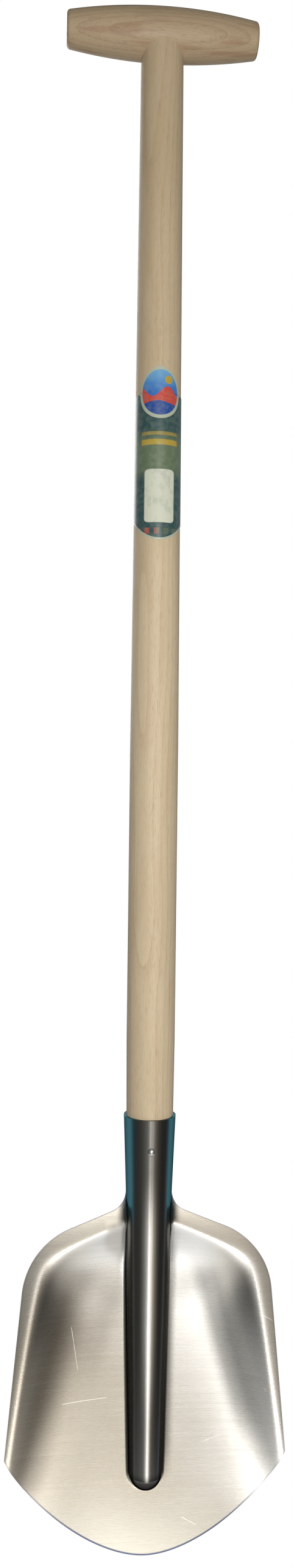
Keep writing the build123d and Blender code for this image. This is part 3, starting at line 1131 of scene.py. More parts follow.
@dataclass(frozen=True)
class Shaft:
    """Turned shaft: straight above the socket, long taper to the crossbar, coped under it, with its tenon.

    Attributes:
        bar: The crossbar that it carries.
        mouth_z: Height of the socket mouth.
        straight_r: Radius of the straight stretch.
        mouth_r: Radius at the mouth.
        top_r: Radius under the crossbar.
        swell: Length from the mouth to the straight stretch.
        straight: Length of the straight stretch.
        insert: Length inside socket and rib.
        neck_r: Radius inside the neck.
        neck_drop: Drop of the neck.
        foot_r: Radius of the lower end.
        foot_round: Rounding of the lower end.
        tenon_r: Radius of the tenon.
        kerf_top: Width of the wedge's slot at the top.
        kerf_foot: Width of the slot at its foot.
        kerf_depth: Depth of the slot.
        cope_z: Height where the rows that follow the crossbar begin.
    """

    bar: Crossbar
    mouth_z: float = MOUTH_Z
    straight_r: float = 19.75
    mouth_r: float = 19.15
    top_r: float = 17.3
    swell: float = 60.0
    straight: float = 240.0
    insert: float = 165.0
    neck_r: float = 16.85
    neck_drop: float = 60.0
    foot_r: float = 14.38
    foot_round: float = 6.0
    tenon_r: float = 12.0
    kerf_top: float = 3.3
    kerf_foot: float = 1.1
    kerf_depth: float = 16.05
    cope_z: float = -30.0

    def radius(self, height: Array) -> Array:
        """Return the radius at a height: straight lines between the turned sizes.

        Args:
            height: The height.

        Returns:
            The radius there.
        """
        straight_z = self.mouth_z + self.swell
        heights = [self.mouth_z - self.insert, self.mouth_z - self.neck_drop, self.mouth_z]
        heights += [straight_z, straight_z + self.straight, 0.0]
        radii = [self.foot_r, self.neck_r, self.mouth_r, self.straight_r, self.straight_r, self.top_r]
        return np.interp(height, heights, radii)

    def build(self, finish: AshWood) -> bpy.types.Object:
        """Make the shaft and dress it.

        Rows run from the middle of the lower end up the side. The last rows follow the crossbar: up to its
        lower side, inwards along it to the tenon, up the tenon and over the flush top to the middle.

        Args:
            finish: Its wood.

        Returns:
            The finished piece.
        """
        angle = np.linspace(0.0, 2 * math.pi, 96, endpoint=False)
        foot = self.mouth_z - self.insert
        corner = np.array([self.foot_r, foot])
        arc = round_corner(np.array([0.0, foot]), corner, corner + np.array([0.0, 20.0]), self.foot_round, 7)
        side = np.linspace(arc[-1, 1] + 2.0, self.cope_z, 200)
        flat = np.stack([np.linspace(0.0, arc[0, 0], 6)[:-1], np.full(5, foot)], axis=-1)
        lower = np.concatenate([flat, arc, np.stack([self.radius(side), side], axis=-1)])
        inwards = np.linspace(self.top_r, self.tenon_r, 5)
        rise = np.full(8, self.tenon_r)
        over = np.linspace(self.tenon_r, 0.0, 10)[1:]
        radii = np.concatenate([lower[:, 0], inwards, rise, over])[:, None]
        right, back = radii * np.cos(angle), radii * np.sin(angle)
        level = self.bar.top(right, back)
        share = np.concatenate([np.full(5, -1.0), np.linspace(-1.0, 1.0, 10)[1:-1], np.full(9, 1.0)])[:, None]
        height = np.concatenate([lower[:, 1:] + 0 * angle, share * level[len(lower) :]])
        piece = mesh_piece("turned_shaft", [Patch(np.stack([right, back, height], axis=-1), True, True)])
        cut_away(piece, self.kerf())
        return place(piece, finish.material(), "shaft_wood", "shaft")

    def kerf(self) -> bpy.types.Object:
        """Return the closed form that cuts the wedge's slot: a tapered slice across the tenon.

        Returns:
            The closed form.
        """
        past, deep = 10.0, 20.0
        top, foot = self.bar.middle_r, self.bar.middle_r - self.kerf_depth
        flare = (self.kerf_top - self.kerf_foot) / self.kerf_depth
        widths = np.array([self.kerf_foot, self.kerf_top + flare * past]) / 2
        heights = np.array([foot, top + past])
        ring = np.array([[-1, -1], [1, -1], [1, 1], [-1, 1]])
        rows = [
            np.stack([ring[:, 0] * width, ring[:, 1] * deep, np.full(4, height)], axis=-1)
            for width, height in zip(widths, heights)
        ]
        ends = [np.tile(row.mean(axis=0), (4, 1)) for row in rows]
        return mesh_piece("kerf_cutter", [Patch(np.stack([ends[0], rows[0], rows[1], ends[1]]), True, True)])


@dataclass(frozen=True)
class HeadRows:
    """Rows of the head's right half, one entry to a row. Points are distance from the middle and drop.

    Attributes:
        centre: Middle of each row.
        way: Direction of each row.
        radius: Outer radius of socket or rib.
        plan: Where socket or rib meets the scoop.
        level: Height of that point in front of the shaft axis.
        outline: Where the row ends.
        joined: True where the row ends on the socket.
    """

    centre: Array
    way: Array
    radius: Array
    plan: Array
    level: Array
    outline: Array
    joined: Array

    def crown(self) -> Array:
        """Return the angle of the foot line above the side of socket or rib."""
        return np.arcsin(np.clip(self.level / self.radius, 0.0, 1.0))


@dataclass(frozen=True)
class BladeHead:
    """Pressed head: scoop, rib and rolled socket as one sheet, worked out on the right half and mirrored.

    Attributes:
        mouth_z: Height of the socket mouth.
        sheet: Thickness of the steel.
        mouth_r: Outer radius at the mouth.
        neck_r: Outer radius at the neck.
        socket: Drop of the neck.
        rib_end: Drop of the centre of the rib's round end.
        rib_end_r: Radius of that end.
        seam: Gap between the rolled edges at the back.
        seam_end: Drop where the back opens.
        relief: Drop where the back half of the socket is gone.
        neck_drop: Drop of the shoulder line at the neck.
        shoulder: Half width and drop where shoulder and side lines meet.
        corner: Half width and drop of the front corner.
        length: Drop of the tip.
        neck_fillet: Radius between socket and shoulder.
        corner_round: Radius between shoulder and side.
        flank: Handle of the front edge at the corner.
        nose: Handle of the front edge at the tip.
        rim: Height of the crease in front of the shaft axis.
        floor_depth: Depth of the floor at the heel.
        heel: Drop of the heel.
        lift: Degrees that the floor rises towards the tip.
        flange_rear: Width of the flange at the neck.
        flange_side: Width of the flange at the shoulder.
        flange_front: Width of the flange at the corner.
        flange_fall: Degrees that the flange falls outwards.
        crease_turn: Rounding of the crease at the shoulder.
        deep_turn: Growth of that rounding with the distance inside the crease.
        wall_rear: Run of the wall at the rear.
        wall_side: Run of the wall beside the rib.
        wall_front: Run of the wall at the corner.
        wall_power: How fast the wall flattens out towards the floor.
        bend: Softness of the crease.
        ridge: Rounding of the rear wall's ridge behind the rib.
        foot: Rounding where the rib leaves the floor.
        row_counts: Number of rows along socket, shoulder, side and front edge.
        column_counts: Number of columns over the arch, round its foot, along the scoop and round the back.
    """

    mouth_z: float = MOUTH_Z
    sheet: float = 2.0
    mouth_r: float = 21.3
    neck_r: float = 19.0
    socket: float = 60.0
    rib_end: float = 294.0
    rib_end_r: float = 13.5
    seam: float = 2.4
    seam_end: float = 64.0
    relief: float = 90.0
    neck_drop: float = 74.7
    shoulder: Span = (99.2, 107.0)
    corner: Span = (115.5, 279.5)
    length: float = 361.75
    neck_fillet: float = 18.0
    corner_round: float = 62.0
    flank: Span = (19.5, 42.5)
    nose: float = 40.0
    rim: float = 4.0
    floor_depth: float = 20.0
    heel: float = 90.0
    lift: float = 4.5
    flange_rear: float = 13.0
    flange_side: float = 14.0
    flange_front: float = 4.0
    flange_fall: float = 9.0
    crease_turn: float = 14.0
    deep_turn: float = 0.8
    wall_rear: float = 80.0
    wall_side: float = 75.0
    wall_front: float = 50.0
    wall_power: float = 3.0
    bend: float = 4.0
    ridge: float = 4.0
    foot: float = 3.0
    row_counts: tuple[int, int, int, int] = (18, 90, 50, 76)
    column_counts: tuple[int, int, int, int] = (22, 8, 50, 26)

    def radius(self, drop: Array) -> Array:
        """Return the outer radius at a drop: straight lines from mouth to neck to rib end."""
        return np.interp(drop, [0.0, self.socket, self.rib_end], [self.mouth_r, self.neck_r, self.rib_end_r])

    def inside(self, right: Array, drop: Array) -> tuple[Array, Array]:
        """Return the distance inside the crease, and the share of the turn from rear wall to side wall.

        The crease is a shoulder line and a side line. The distance is the smaller of the distances from both,
        with the corner rounded to a hyperbola: (a + b - root((a - b)^2 + turn^2)) / 2. The rounding grows
        inwards.

        Args:
            right: Distance from the middle.
            drop: Drop below the mouth.

        Returns:
            The distance, negative on the flange, and the share.
        """
        neck, shoulder = np.array([self.neck_r, self.neck_drop]), np.array(self.shoulder)
        rear_run = unit(shoulder - neck)
        rear_out = np.array([rear_run[1], -rear_run[0]])
        side_top = shoulder - np.array([self.flange_side, 0.0])
        side_run = unit(np.array(self.corner) - np.array([self.flange_front, 0.0]) - side_top)
        side_out = np.array([side_run[1], -side_run[0]])
        rear = neck - rear_out * self.flange_rear
        point = np.stack(np.broadcast_arrays(np.hypot(right, self.ridge), drop), axis=-1)
        from_rear, from_side = (rear - point) @ rear_out, (side_top - point) @ side_out
        both, apart = from_rear + from_side, from_rear - from_side
        near = (both - np.hypot(apart, self.crease_turn)) / 2
        turn = self.crease_turn + self.deep_turn * np.maximum(near, 0.0)
        past_rear, past_side = np.maximum(from_rear, 0.0) + 1, np.maximum(from_side, 0.0) + 1
        share = past_rear / (past_rear + past_side)
        return (both - np.hypot(apart, turn)) / 2, share

    def front(self, right: Array, drop: Array) -> Array:
        """Return how far the scoop's face lies in front of the shaft axis.

        The floor is a plane that rises by the lift, the wall a power curve from the crease to the floor, and
        the flange a slope outwards. A softened distance rounds the crease.

        Args:
            right: Distance from the middle.
            drop: Drop below the mouth.

        Returns:
            The height of the face.
        """
        inside, turn = self.inside(right, drop)
        start, end = self.shoulder[1], self.corner[1]
        side = blend(self.wall_side, self.wall_front, (drop - start) / (end - start))
        run = blend(self.wall_rear, side, turn)
        floor = math.tan(math.radians(self.lift)) * (drop - self.heel) - self.floor_depth
        soft = (inside + np.hypot(inside, self.bend)) / 2
        wall = np.maximum(self.rim - floor, 0.0) * (1 - np.minimum(soft / run, 1.0)) ** self.wall_power
        return floor + wall - math.tan(math.radians(self.flange_fall)) * (soft - inside)

    def edge(self, neck_in: float) -> tuple[Array, Array, Array]:
        """Return the right half of the outline in three lengths: neck and shoulder, side, and front edge.

        Args:
            neck_in: Distance from the middle where the sheet leaves the socket.

        Returns:
            The points of each length, right and drop.
        """
        start, bend = np.array([neck_in, 0.0]), np.array([neck_in, self.neck_drop])
        shoulder, corner = np.array(self.shoulder), np.array(self.corner)
        neck = round_corner(start, bend, shoulder, self.neck_fillet, 24)
        turn = round_corner(bend, shoulder, corner, self.corner_round, 40)
        handle = corner + np.array([-self.flank[0], self.flank[1]])
        nose, tip = np.array([self.nose, self.length]), np.array([0.0, self.length])
        done = np.linspace(0.0, 1.0, 120)[:, None]
        left = 1 - done
        front = left**3 * corner + 3 * done * left**2 * handle + 3 * done**2 * left * nose + done**3 * tip
        return np.concatenate([neck, turn]), np.stack([turn[-1], corner]), front

    def rows(self) -> HeadRows:
        """Return the rows of the right half.

        Rows lie level from the mouth down to the front corner, then fan out round the rib's end to the
        middle. The point where rib and scoop meet depends on its own height, so it is found in a few rounds.

        Returns:
            The rows.
        """
        neck_top = float(self.edge(self.neck_r)[0][0, 1])
        lip = float(self.front(np.array(self.neck_r), np.array(neck_top)))
        neck_in = math.sqrt(float(self.radius(np.array(neck_top))) ** 2 - lip**2)
        above_count, *edge_counts = self.row_counts
        outer = [resample(part, count)[1:] for part, count in zip(self.edge(neck_in), edge_counts)]
        above = np.linspace(0.0, neck_top, above_count)
        last = self.rib_end + self.rib_end_r * math.pi / 2
        around = np.linspace(self.corner[1], last, edge_counts[-1])[1:]
        travel = np.concatenate([above, outer[0][:, 1], outer[1][:, 1], around])
        drop = np.minimum(travel, self.rib_end)
        swing = np.maximum(travel - self.rib_end, 0.0) / self.rib_end_r
        way = np.stack([np.cos(swing), np.sin(swing)], axis=-1)
        centre = np.stack([np.zeros_like(drop), drop], axis=-1)
        reach = radius = self.radius(drop)
        for _ in range(4):
            plan = centre + reach[:, None] * way
            level = np.where(travel < neck_top, lip, self.front(plan[:, 0], plan[:, 1]))
            reach = np.sqrt(radius**2 - np.maximum(level, 0.0) ** 2)
        plan = centre + reach[:, None] * way
        outline = np.concatenate([plan[:above_count], *outer])
        return HeadRows(centre, way, radius, plan, level, outline, np.arange(len(drop)) < above_count)

    def arch(self, rows: HeadRows, small: Array) -> tuple[Array, Array]:
        """Return the rib's face: from the crest over the arch and down its side.

        Args:
            rows: The rows of the right half.
            small: How far above the scoop the face ends in each row.

        Returns:
            The points in plan and their heights in front of the shaft axis.
        """
        radius = rows.radius[:, None]
        climb = rows.radius * (math.pi / 2 - rows.crown()) + np.maximum(-rows.level, 0.0)
        length = np.linspace(0.0, 1.0, self.column_counts[0]) * (climb - small)[:, None]
        angle = np.minimum(length / radius, math.pi / 2)
        height = radius * np.cos(angle) - np.maximum(length - radius * math.pi / 2, 0.0)
        return rows.centre[:, None] + (radius * np.sin(angle))[..., None] * rows.way[:, None], height

    def front_half(self, rows: HeadRows) -> Patch:
        """Return the right half's front: over the rib, through a small rounded foot and along the scoop.

        Args:
            rows: The rows of the right half.

        Returns:
            The patch.
        """
        gap = np.linalg.norm(rows.outline - rows.plan, axis=-1)
        out = (rows.outline - rows.plan) / np.maximum(gap, TINY)[:, None]
        small = np.minimum(self.foot, 0.4 * gap)
        arch, arch_rise = self.arch(rows, small)
        land = rows.plan + small[:, None] * out
        land_rise = np.where(gap > TINY, self.front(land[:, 0], land[:, 1]), rows.level)
        arch_count, foot_count, scoop_count, _ = self.column_counts
        done = np.linspace(0.0, 1.0, foot_count)[1:, None]
        weights = [(1 - done) ** 2, 2 * done * (1 - done), done**2]
        controls, heights = (arch[:, -1], rows.plan, land), (arch_rise[:, -1], rows.level, land_rise)
        foot = sum(weight * point[:, None] for weight, point in zip(weights, controls))
        foot_rise = sum(weight[:, 0] * height[:, None] for weight, height in zip(weights, heights))
        even = np.linspace(0.0, 1.0, scoop_count)[1:]
        spacing = (0.35 * even + 0.65 * (1 - (1 - even) ** 2))[:, None]
        flat = land[:, None] + (rows.outline - land)[:, None] * spacing
        flat_rise = np.where(gap[:, None] > TINY, self.front(flat[..., 0], flat[..., 1]), rows.level[:, None])
        spread = np.concatenate([arch, foot, flat], axis=1)
        rise = np.concatenate([arch_rise, foot_rise, flat_rise], axis=1)
        points = np.stack([spread[..., 0], -rise, self.mouth_z - spread[..., 1]], axis=-1)
        shares = [np.ones(arch_count), np.linspace(1.0, 0.0, foot_count)[1:], np.zeros(scoop_count - 1)]
        to_rim = np.linalg.norm(rows.outline[:, None] - spread, axis=-1)
        marks = {
            "rib": np.broadcast_to(np.concatenate(shares), rise.shape),
            "rim": np.where(gap[:, None] > 1.0, to_rim, AWAY),
            "crease": self.inside(spread[..., 0], spread[..., 1])[0],
        }
        return Patch(points, marks=marks)

    def back_half(self, rows: HeadRows) -> Patch:
        """Return the right half of the socket behind the foot line.

        Each row is an arc at one drop. It starts on the foot line, or half a millimetre behind it where the
        sheet has left the socket. It ends at the seam, or further forward where an arch and a slanted cut
        open the back below it.

        Args:
            rows: The rows of the right half.

        Returns:
            The patch.
        """
        keep = rows.centre[:, 1] < self.relief - 2.0
        columns = (rows.centre[:, 1], rows.radius, rows.crown(), rows.joined)
        drop, radius, crown, joined = (column[keep] for column in columns)
        arch = float(self.radius(np.array(self.relief))) - self.sheet
        hole = np.sqrt(np.maximum(arch**2 - np.maximum(self.seam_end + arch - drop, 0.0) ** 2, 0.0))
        slant = self.neck_r * (self.relief - drop) / (self.relief - self.seam_end)
        behind = np.minimum(np.sqrt(np.maximum(radius**2 - hole**2, 0.0)), np.maximum(slant, 0.0))
        opened = math.pi / 2 + np.arcsin(np.clip(behind / radius, 0.0, 1.0))
        seam = math.pi - np.arcsin(self.seam / 2 / radius)
        start = math.pi / 2 - crown + np.where(joined, 0.0, 0.5) / radius
        end = np.maximum(np.where(drop < self.seam_end, seam, np.minimum(opened, seam)), start)
        angle = start[:, None] + (end - start)[:, None] * np.linspace(0.0, 1.0, self.column_counts[3])
        right, back = radius[:, None] * np.sin(angle), -radius[:, None] * np.cos(angle)
        points = np.stack([right, back, self.mouth_z - drop[:, None] + 0 * angle], axis=-1)
        away = np.full_like(angle, AWAY)
        return Patch(points, marks={"rib": np.ones_like(angle), "rim": away, "crease": away})

    def build(self, finish: PressedSteel) -> bpy.types.Object:
        """Make the head and dress it.

        Args:
            finish: Its steel.

        Returns:
            The finished piece.
        """
        rows = self.rows()
        front, back = self.front_half(rows), self.back_half(rows)
        piece = mesh_piece("pressed_head", [front, front.mirrored(), back, back.mirrored()])
        thicken(piece, self.sheet)
        settle_mesh(piece, 40.0)
        self.mark_back(piece.data)
        return place(piece, finish.material(), "blade_steel", "blade_head")

    def mark_back(self, mesh: bpy.types.Mesh) -> None:
        """Mark the vertices behind the middle of the sheet, so that the front's tones stay on the front.

        Args:
            mesh: Mesh of the finished head.
        """
        points = np.empty(3 * len(mesh.vertices), dtype=np.float32)
        mesh.vertices.foreach_get("co", points)
        right, back, height = points.reshape(-1, 3).T.astype(float) / MM
        behind = back + self.front(np.abs(right), self.mouth_z - height) > self.sheet / 2
        mesh.attributes.new("behind", "FLOAT", "POINT").data.foreach_set("value", behind.astype(np.float32))


@dataclass(frozen=True)
class SocketRivet:
    """Rivet through the socket, with domed heads and a saddle washer at the back.

    Attributes:
        head: The head that it fastens.
        drop: Drop of its axis below the mouth.
        shank_r: Radius of the shank.
        head_r: Radius of the heads.
        head_rise: Height of the heads.
        washer_r: Radius of the washer.
        washer: Thickness of the washer.
        fit: Gap around the shank.
        seat_gap: Gap between the washer and the socket.
        washer_edge: Width of the washer's worn edge.
    """

    head: BladeHead
    drop: float = 25.5
    shank_r: float = 2.25
    head_r: float = 3.3
    head_rise: float = 1.7
    washer_r: float = 6.0
    washer: float = 1.2
    fit: float = 0.05
    seat_gap: float = 0.02
    washer_edge: float = 0.3

    def seat(self) -> float:
        """Return the distance from the shaft axis where a head rests: the socket's radius above the rivet."""
        return float(self.head.radius(np.array(self.drop - self.head_r)))

    def rivet(self) -> Patch:
        """Return the rivet: a shank with a spherical head at each end, turned about Y.

        Returns:
            The patch, with the rivet's middle at the origin.
        """
        ball = (self.head_rise**2 + self.head_r**2) / (2 * self.head_rise)
        angle = np.linspace(0.0, math.asin(self.head_r / ball), 12)
        dome = np.stack([ball * np.sin(angle), self.head_rise - ball * (1 - np.cos(angle))], axis=-1)
        front, back = -self.seat(), self.seat() + self.washer
        far = dome * np.array([1.0, -1.0]) + np.array([0.0, front])
        near = dome[::-1] + np.array([0.0, back])
        shank = np.array([[self.shank_r, front], [self.shank_r, back]])
        return turned(np.concatenate([far, shank, near]), Axis.Y, 48)

    def saddle(self) -> Patch:
        """Return the washer: a ring that is flat at the back and follows the socket in front.

        Returns:
            The patch, with the rivet's middle at the origin.
        """
        bore, rim = self.shank_r + self.fit, self.washer_r
        radii = np.array([bore, bore, rim - self.washer_edge, rim, rim, bore])[:, None]
        level = np.array([0.0, 1.0, 1.0, 0.8, 0.0, 0.0])[:, None]
        angle = np.linspace(0.0, 2 * math.pi, 64, endpoint=False)
        right, height = radii * np.cos(angle), radii * np.sin(angle)
        under = np.sqrt(self.head.radius(self.drop - height) ** 2 - right**2) + self.seat_gap
        back = under + (self.seat() + self.washer - under) * level
        return Patch(np.stack([right, back, height], axis=-1), wrap=True)

    def build(self, finish: RivetSteel) -> None:
        """Make rivet and washer, and dress both in the same steel.

        Args:
            finish: Their steel.
        """
        steel = finish.material()
        rivet, washer = ("domed_rivet", self.rivet()), ("saddle_washer", self.saddle())
        for node, (name, patch) in {"socket_rivet": rivet, "rivet_washer": washer}.items():
            patch.points += np.array([0.0, 0.0, self.head.mouth_z - self.drop])
            piece = mesh_piece(name, [patch])
            settle_mesh(piece)
            place(piece, steel, "rivet_steel", node)


@dataclass(frozen=True)
class ShaftLabel:
    """Printed label around the front of the shaft, and the white sticker on it.

    A row at one height is an arc of the shaft. Its ends lie where the label's front outline meets the shaft.

    Attributes:
        shaft: The shaft that carries it.
        foot: Height of the label's foot above the mouth.
        height: Height of the label.
        badge_r: Half width of the rounded top.
        badge_height: Height of the rounded top.
        sticker_foot: Height of the sticker's foot above the mouth.
        sticker_height: Height of the sticker.
        sticker_half: Half width of the sticker.
        sticker_corner: Radius of its corners.
        glue: Glue line under each film.
        film: Thickness of each film.
        foot_rows: Height up to which rows crowd together towards the round foot.
        weld: Distance at which a film's vertices become one.
    """

    shaft: Shaft
    foot: float = 468.0
    height: float = 140.0
    badge_r: float = 15.5
    badge_height: float = 42.0
    sticker_foot: float = 482.0
    sticker_height: float = 43.0
    sticker_half: float = 12.0
    sticker_corner: float = 3.0
    glue: float = 0.15
    film: float = 0.2
    foot_rows: float = 20.0
    weld: float = 0.0005

    def label_half(self, up: Array) -> Array:
        """Return the label's half width in front view: round foot, straight body and elliptic top.

        Args:
            up: Height above the label's foot.

        Returns:
            The half width there.
        """
        top = self.height - self.badge_height / 2
        straight = self.shaft.straight_r
        foot = np.sqrt(np.maximum(straight**2 - np.maximum(straight - up, 0.0) ** 2, 0.0))
        badge = self.badge_r * np.sqrt(np.maximum(1 - ((up - top) / (self.badge_height / 2)) ** 2, 0.0))
        return np.where(up <= top, np.maximum(foot, badge), badge)

    def sticker_half_width(self, up: Array) -> Array:
        """Return the sticker's half width in front view: a rectangle with round corners.

        Args:
            up: Height above the sticker's foot.

        Returns:
            The half width there.
        """
        corner = self.sticker_corner
        into = np.maximum(corner - np.minimum(up, self.sticker_height - up), 0.0)
        return self.sticker_half - corner + np.sqrt(np.maximum(corner**2 - into**2, 0.0))

    def film_piece(self, name: str, foot: float, up: Array, half: Array, layer: int) -> bpy.types.Object:
        """Make one film on the shaft, with its own map and its distance from the edge as a mark.

        Args:
            name: Name of the piece.
            foot: Height of the film's foot above the mouth.
            up: Heights of the rows above that foot.
            half: Half width of each row in front view.
            layer: 1 on the wood, 2 on the label.

        Returns:
            The film.
        """
        level = self.shaft.mouth_z + foot + up
        radius = self.shaft.radius(level) + layer * (self.glue + self.film)
        limit = np.arcsin(np.clip(half / radius, 0.0, 1.0))
        angle = limit[:, None] * np.linspace(-1.0, 1.0, 61)
        points = np.stack([radius[:, None] * np.sin(angle), -radius[:, None] * np.cos(angle)], axis=-1)
        points = np.concatenate([points, level[:, None, None] + 0 * points[..., :1]], axis=-1)
        around = radius[:, None] * angle
        reach = radius * limit
        rim, rim_up = np.concatenate([-reach, reach]), np.concatenate([up, up])
        away = np.hypot(around[..., None] - rim, up[:, None, None] - rim_up).min(axis=-1)
        marks = {"margin": away, "around": around, "up": np.broadcast_to(up[:, None], around.shape)}
        piece = mesh_piece(name, [Patch(points, flip=True, marks=marks)], self.weld)
        thicken(piece, self.film)
        settle_mesh(piece)
        self.add_map(piece.data)
        return piece

    @staticmethod
    def add_map(mesh: bpy.types.Mesh) -> None:
        """Give a film its own map, from its marks for the distance around the shaft and the height.

        Args:
            mesh: Mesh of the film.
        """
        corner = np.empty(len(mesh.loops), dtype=np.int32)
        mesh.loops.foreach_get("vertex_index", corner)
        flat = np.empty((2, len(mesh.vertices)), dtype=np.float32)
        for row, mark in zip(flat, ("around", "up")):
            mesh.attributes[mark].data.foreach_get("value", row)
        layer = mesh.uv_layers.new(name="print")
        layer.data.foreach_set("uv", (flat.T[corner] / MAP_UNIT).reshape(-1))

    def build(self, print_finish: PrintedFilm, paper: PlainPaper) -> None:
        """Make label and sticker, and dress them.

        Args:
            print_finish: The label's print.
            paper: The sticker's paper.
        """
        foot = crowded(self.foot_rows, 60, 2.0)
        body = np.linspace(self.foot_rows, self.height - self.badge_height, 60)[1:]
        top = self.height - crowded(self.badge_height, 80, 1.5)[-2::-1]
        up = np.concatenate([foot, body, top])
        piece = self.film_piece("printed_label", self.foot, up, self.label_half(up), 1)
        place(piece, print_finish.material(), "label_print", "shaft_label")
        edge = crowded(self.sticker_corner, 14, 2.0)
        body = np.linspace(self.sticker_corner, self.sticker_height - self.sticker_corner, 40)[1:-1]
        up = np.concatenate([edge, body, self.sticker_height - edge[::-1]])
        piece = self.film_piece("plain_sticker", self.sticker_foot, up, self.sticker_half_width(up), 2)
        place(piece, paper.material(), "sticker_paper", "white_sticker")


@dataclass(frozen=True)
class Lamp:
    """A soft rectangular lamp.

    Attributes:
        name: Name of the lamp.
        place: Its place in metres.
        aim: The point that it faces.
        size: Width and height in metres.
        glow: Brightness of its face.
        colour: Colour of its light.
    """

    name: str
    place: Triple
    aim: Triple
    size: Span
    glow: float
    colour: Colour = (1.0, 0.98, 0.95)

    def build(self) -> None:
        """Make the lamp. Its power is its brightness times pi times its area."""
        light = bpy.data.lights.new(self.name, "AREA")
        light.shape = "RECTANGLE"
        light.size, light.size_y = self.size
        light.energy = self.glow * math.pi * self.size[0] * self.size[1]
        light.color = self.colour
        lamp = bpy.data.objects.new(self.name, light)
        lamp.location = self.place
        lamp.rotation_euler = (Vector(self.aim) - Vector(self.place)).to_track_quat("-Z", "Y").to_euler()
        lamp.visible_camera = False
        bpy.context.scene.collection.objects.link(lamp)


@dataclass(frozen=True)
class Studio:
    """Pale floor, white backdrop and soft lamps.

    Attributes:
        floor_z: Height of the floor in metres.
        floor_r: Radius of the floor in metres.
        floor_span: Shares of that radius where the floor starts to fade and has faded.
        floor: Colour of the floor.
        ambient: Level of the light from all round.
        side: Colour of the studio beside the backdrop, as metal shows it.
        walls: Colours of the studio in front of the object from left to right, as metal shows them.
        lamps: The lamps.
    """

    floor_z: float = -2.3
    floor_r: float = 1.5
    floor_span: Span = (4.0 / 15.0, 0.98)
    floor: Colour = (0.86, 0.86, 0.855)
    ambient: Colour = (0.16, 0.16, 0.16)
    side: Colour = (0.27, 0.315, 0.33)
    walls: tuple[tuple[float, Colour], ...] = (
        (0.0, (0.05, 0.05, 0.047)),
        (0.15, (0.08, 0.08, 0.075)),
        (0.27, (0.14, 0.14, 0.13)),
        (0.38, (0.23, 0.23, 0.21)),
        (0.50, (0.38, 0.36, 0.33)),
        (0.66, (0.31, 0.26, 0.20)),
        (0.76, (0.11, 0.10, 0.085)),
        (0.88, (0.04, 0.038, 0.036)),
    )
    lamps: tuple[Lamp, ...] = (
        Lamp("front_box", (0.25, -1.3, -1.33), (0.25, 0.0, -1.33), (0.22, 0.70), 0.6),
        Lamp("low_box", (0.20, -1.28, -2.07), (0.20, 0.0, -1.5), (0.34, 0.40), 3.1),
        Lamp("heel_box", (-0.2, -1.25, -2.05), (0.0, 0.0, -1.0), (0.20, 0.42), 1.0),
        Lamp("rib_strip", (0.0, -1.25, -1.43), (0.0, 0.0, -1.0), (0.09, 0.60), 2.0),
        Lamp("low_strip", (0.02, -1.25, -2.0), (0.02, 0.0, -1.2), (0.10, 0.40), 5.0),
        Lamp("eye_box", (0.06, -1.2, -0.58), (0.0, 0.0, -0.58), (0.4, 0.7), 14.0),
        Lamp("rear_box", (-0.9, 1.6, 0.2), (0.0, 0.0, -0.6), (1.2, 1.6), 2.6),
    )

    def build(self) -> None:
        """Make the world, the floor and the lamps."""
        self.build_world()
        self.build_floor()
        for lamp in self.lamps:
            lamp.build()

    def build_world(self) -> None:
        """Make the world: white where it is seen as the backdrop, dim where metal faces the open studio."""
        world = bpy.data.worlds.new("studio")
        bpy.context.scene.world = world
        graph = Graph(world)
        across, behind, _ = graph.split(graph.node("ShaderNodeTexCoord").outputs["Generated"])
        seen = graph.ray("Camera").most(graph.ray("Transmission"))
        seen = seen.most(graph.ray("Glossy") * behind.step(0.86, 0.97))
        layers = [
            (behind.step(-0.2, 0.3), self.side),
            (graph.ray("Diffuse"), self.ambient),
            (seen, (1.0, 1.0, 1.0)),
        ]
        colour = graph.paint(graph.ramp(across * 0.5 + 0.5, self.walls), layers)
        light = graph.node("ShaderNodeBackground", inputs={"Color": colour}).outputs[0]
        graph.node("ShaderNodeOutputWorld", inputs={"Surface": light})

    def build_floor(self) -> None:
        """Make the floor: a pale disc that keeps the shadow and fades into the white backdrop at its edge."""
        rim = self.floor_r / MM
        rows = np.linspace(0.0, rim, 24)
        floor = mesh_piece("pale_floor", [turned(np.stack([rows, 0 * rows], axis=-1), Axis.Z)])
        floor.data.transform(Matrix.Translation((0.0, 0.0, self.floor_z)))
        graph = new_graph("pale_floor")
        right, back, _ = graph.position()
        edge = ((right**2.0 + back**2.0) ** 0.5).step(self.floor_span[0] * rim, self.floor_span[1] * rim)
        seen = graph.ray("Camera").most(graph.ray("Glossy")).most(graph.ray("Transmission"))
        plain = graph.node("ShaderNodeBsdfDiffuse", inputs={"Color": self.floor}).outputs[0]
        white = graph.node("ShaderNodeEmission", inputs={"Color": (1.0, 1.0, 1.0)}).outputs[0]
        share = seen * (edge * 0.2 + 0.8)
        shader = graph.node("ShaderNodeMixShader", inputs={0: share, 1: plain, 2: white}).outputs[0]
        graph.node("ShaderNodeOutputMaterial", inputs={"Surface": shader})
        floor.data.materials.append(graph.owner)


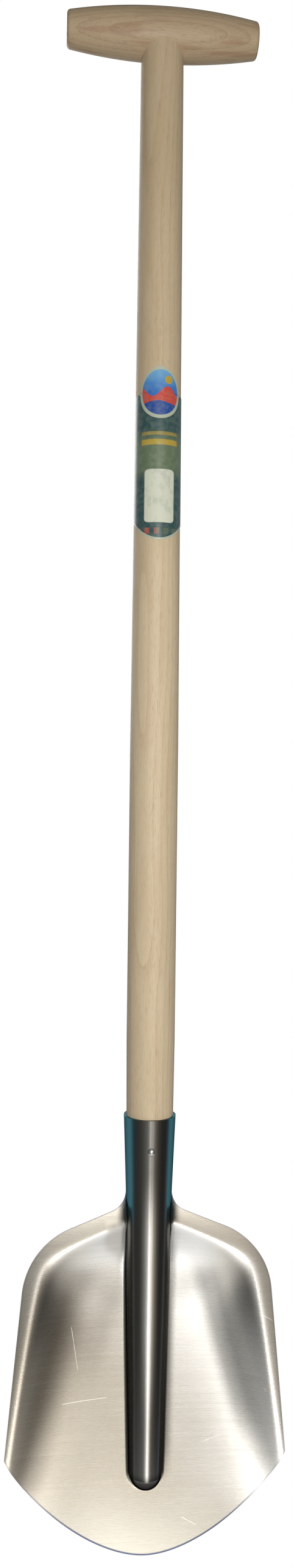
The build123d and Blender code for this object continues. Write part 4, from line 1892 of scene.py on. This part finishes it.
@dataclass(frozen=True)
class PhotoCamera:
    """Camera at the photograph's viewing angle: level, about a metre away and a little to the left.

    Attributes:
        distance: Distance from the shaft axis in metres.
        height: Height of the lens.
        left: Degrees that it stands to the left of the front.
        pan: Degrees that it turns past the shaft.
        roll: Degrees that it leans to the left.
        lens: Focal length in millimetres, on a sensor as long as the picture.
        sensor: Length of the sensor in millimetres.
    """

    distance: float = 0.98
    height: float = -0.615
    left: float = 5.3
    pan: float = 0.345
    roll: float = 0.69
    lens: float = 27.39
    sensor: float = 36.0

    def build(self) -> None:
        """Make the camera and hand it to the scene."""
        data = bpy.data.cameras.new("photo_camera")
        data.sensor_width = self.sensor
        data.lens = self.lens
        data.clip_start, data.clip_end = 0.01, 100.0
        camera = bpy.data.objects.new("photo_camera", data)
        left, turn = math.radians(self.left), math.radians(self.left - self.pan)
        forward = Vector((math.sin(turn), math.cos(turn), 0.0))
        level = Vector((math.cos(turn), -math.sin(turn), 0.0))
        lean = math.radians(self.roll)
        up = Vector((0.0, 0.0, math.cos(lean))) - level * math.sin(lean)
        right = forward.cross(up)
        turned_to = Matrix((right, up, -forward)).transposed().to_4x4()
        place_at = Vector((-self.distance * math.sin(left), -self.distance * math.cos(left), self.height))
        camera.matrix_world = Matrix.Translation(place_at) @ turned_to
        bpy.context.scene.collection.objects.link(camera)
        bpy.context.scene.camera = camera


def main() -> None:
    """Build the spade's pieces in order, then the studio and the camera."""
    logging.basicConfig(level=logging.INFO, format="%(name)s: %(message)s")
    bpy.context.scene.view_settings.view_transform = "Standard"
    bar = Crossbar()
    shaft = Shaft(bar)
    head = BladeHead()
    grip_ash = AshWood(
        name="crossbar_ash",
        grain=Axis.X,
        pith=(-52.0, -25.0),
        pale=linear(183, 162, 132),
        dark=linear(143, 120, 93),
        streak=linear(148, 108, 80),
        streak_share=0.45,
        contrast=0.34,
    )
    shaft_ash = AshWood(
        name="shaft_ash",
        grain=Axis.Z,
        pith=(34.0, 62.0),
        pale=linear(209, 191, 161),
        dark=linear(173, 150, 117),
        streak=linear(188, 158, 121),
        streak_share=0.2,
        contrast=0.33,
        upper_darkening=0.4,
    )
    wedge_wood = AshWood(
        name="wedge_wood",
        grain=Axis.Z,
        pith=(40.0, 0.0),
        pale=linear(150, 118, 84),
        dark=linear(104, 76, 52),
        streak=linear(116, 78, 50),
        ring=1.6,
    )
    bar.build(grip_ash)
    shaft.build(shaft_ash)
    dress_node("tenon_wedge", wedge_wood.material())
    dress_node("grip_pin", RivetSteel("pin_steel").material())
    head.build(PressedSteel())
    SocketRivet(head).build(RivetSteel("rivet_steel"))
    ShaftLabel(shaft).build(PrintedFilm(), PlainPaper())
    Studio().build()
    PhotoCamera().build()


if __name__ == "__main__":
    main()
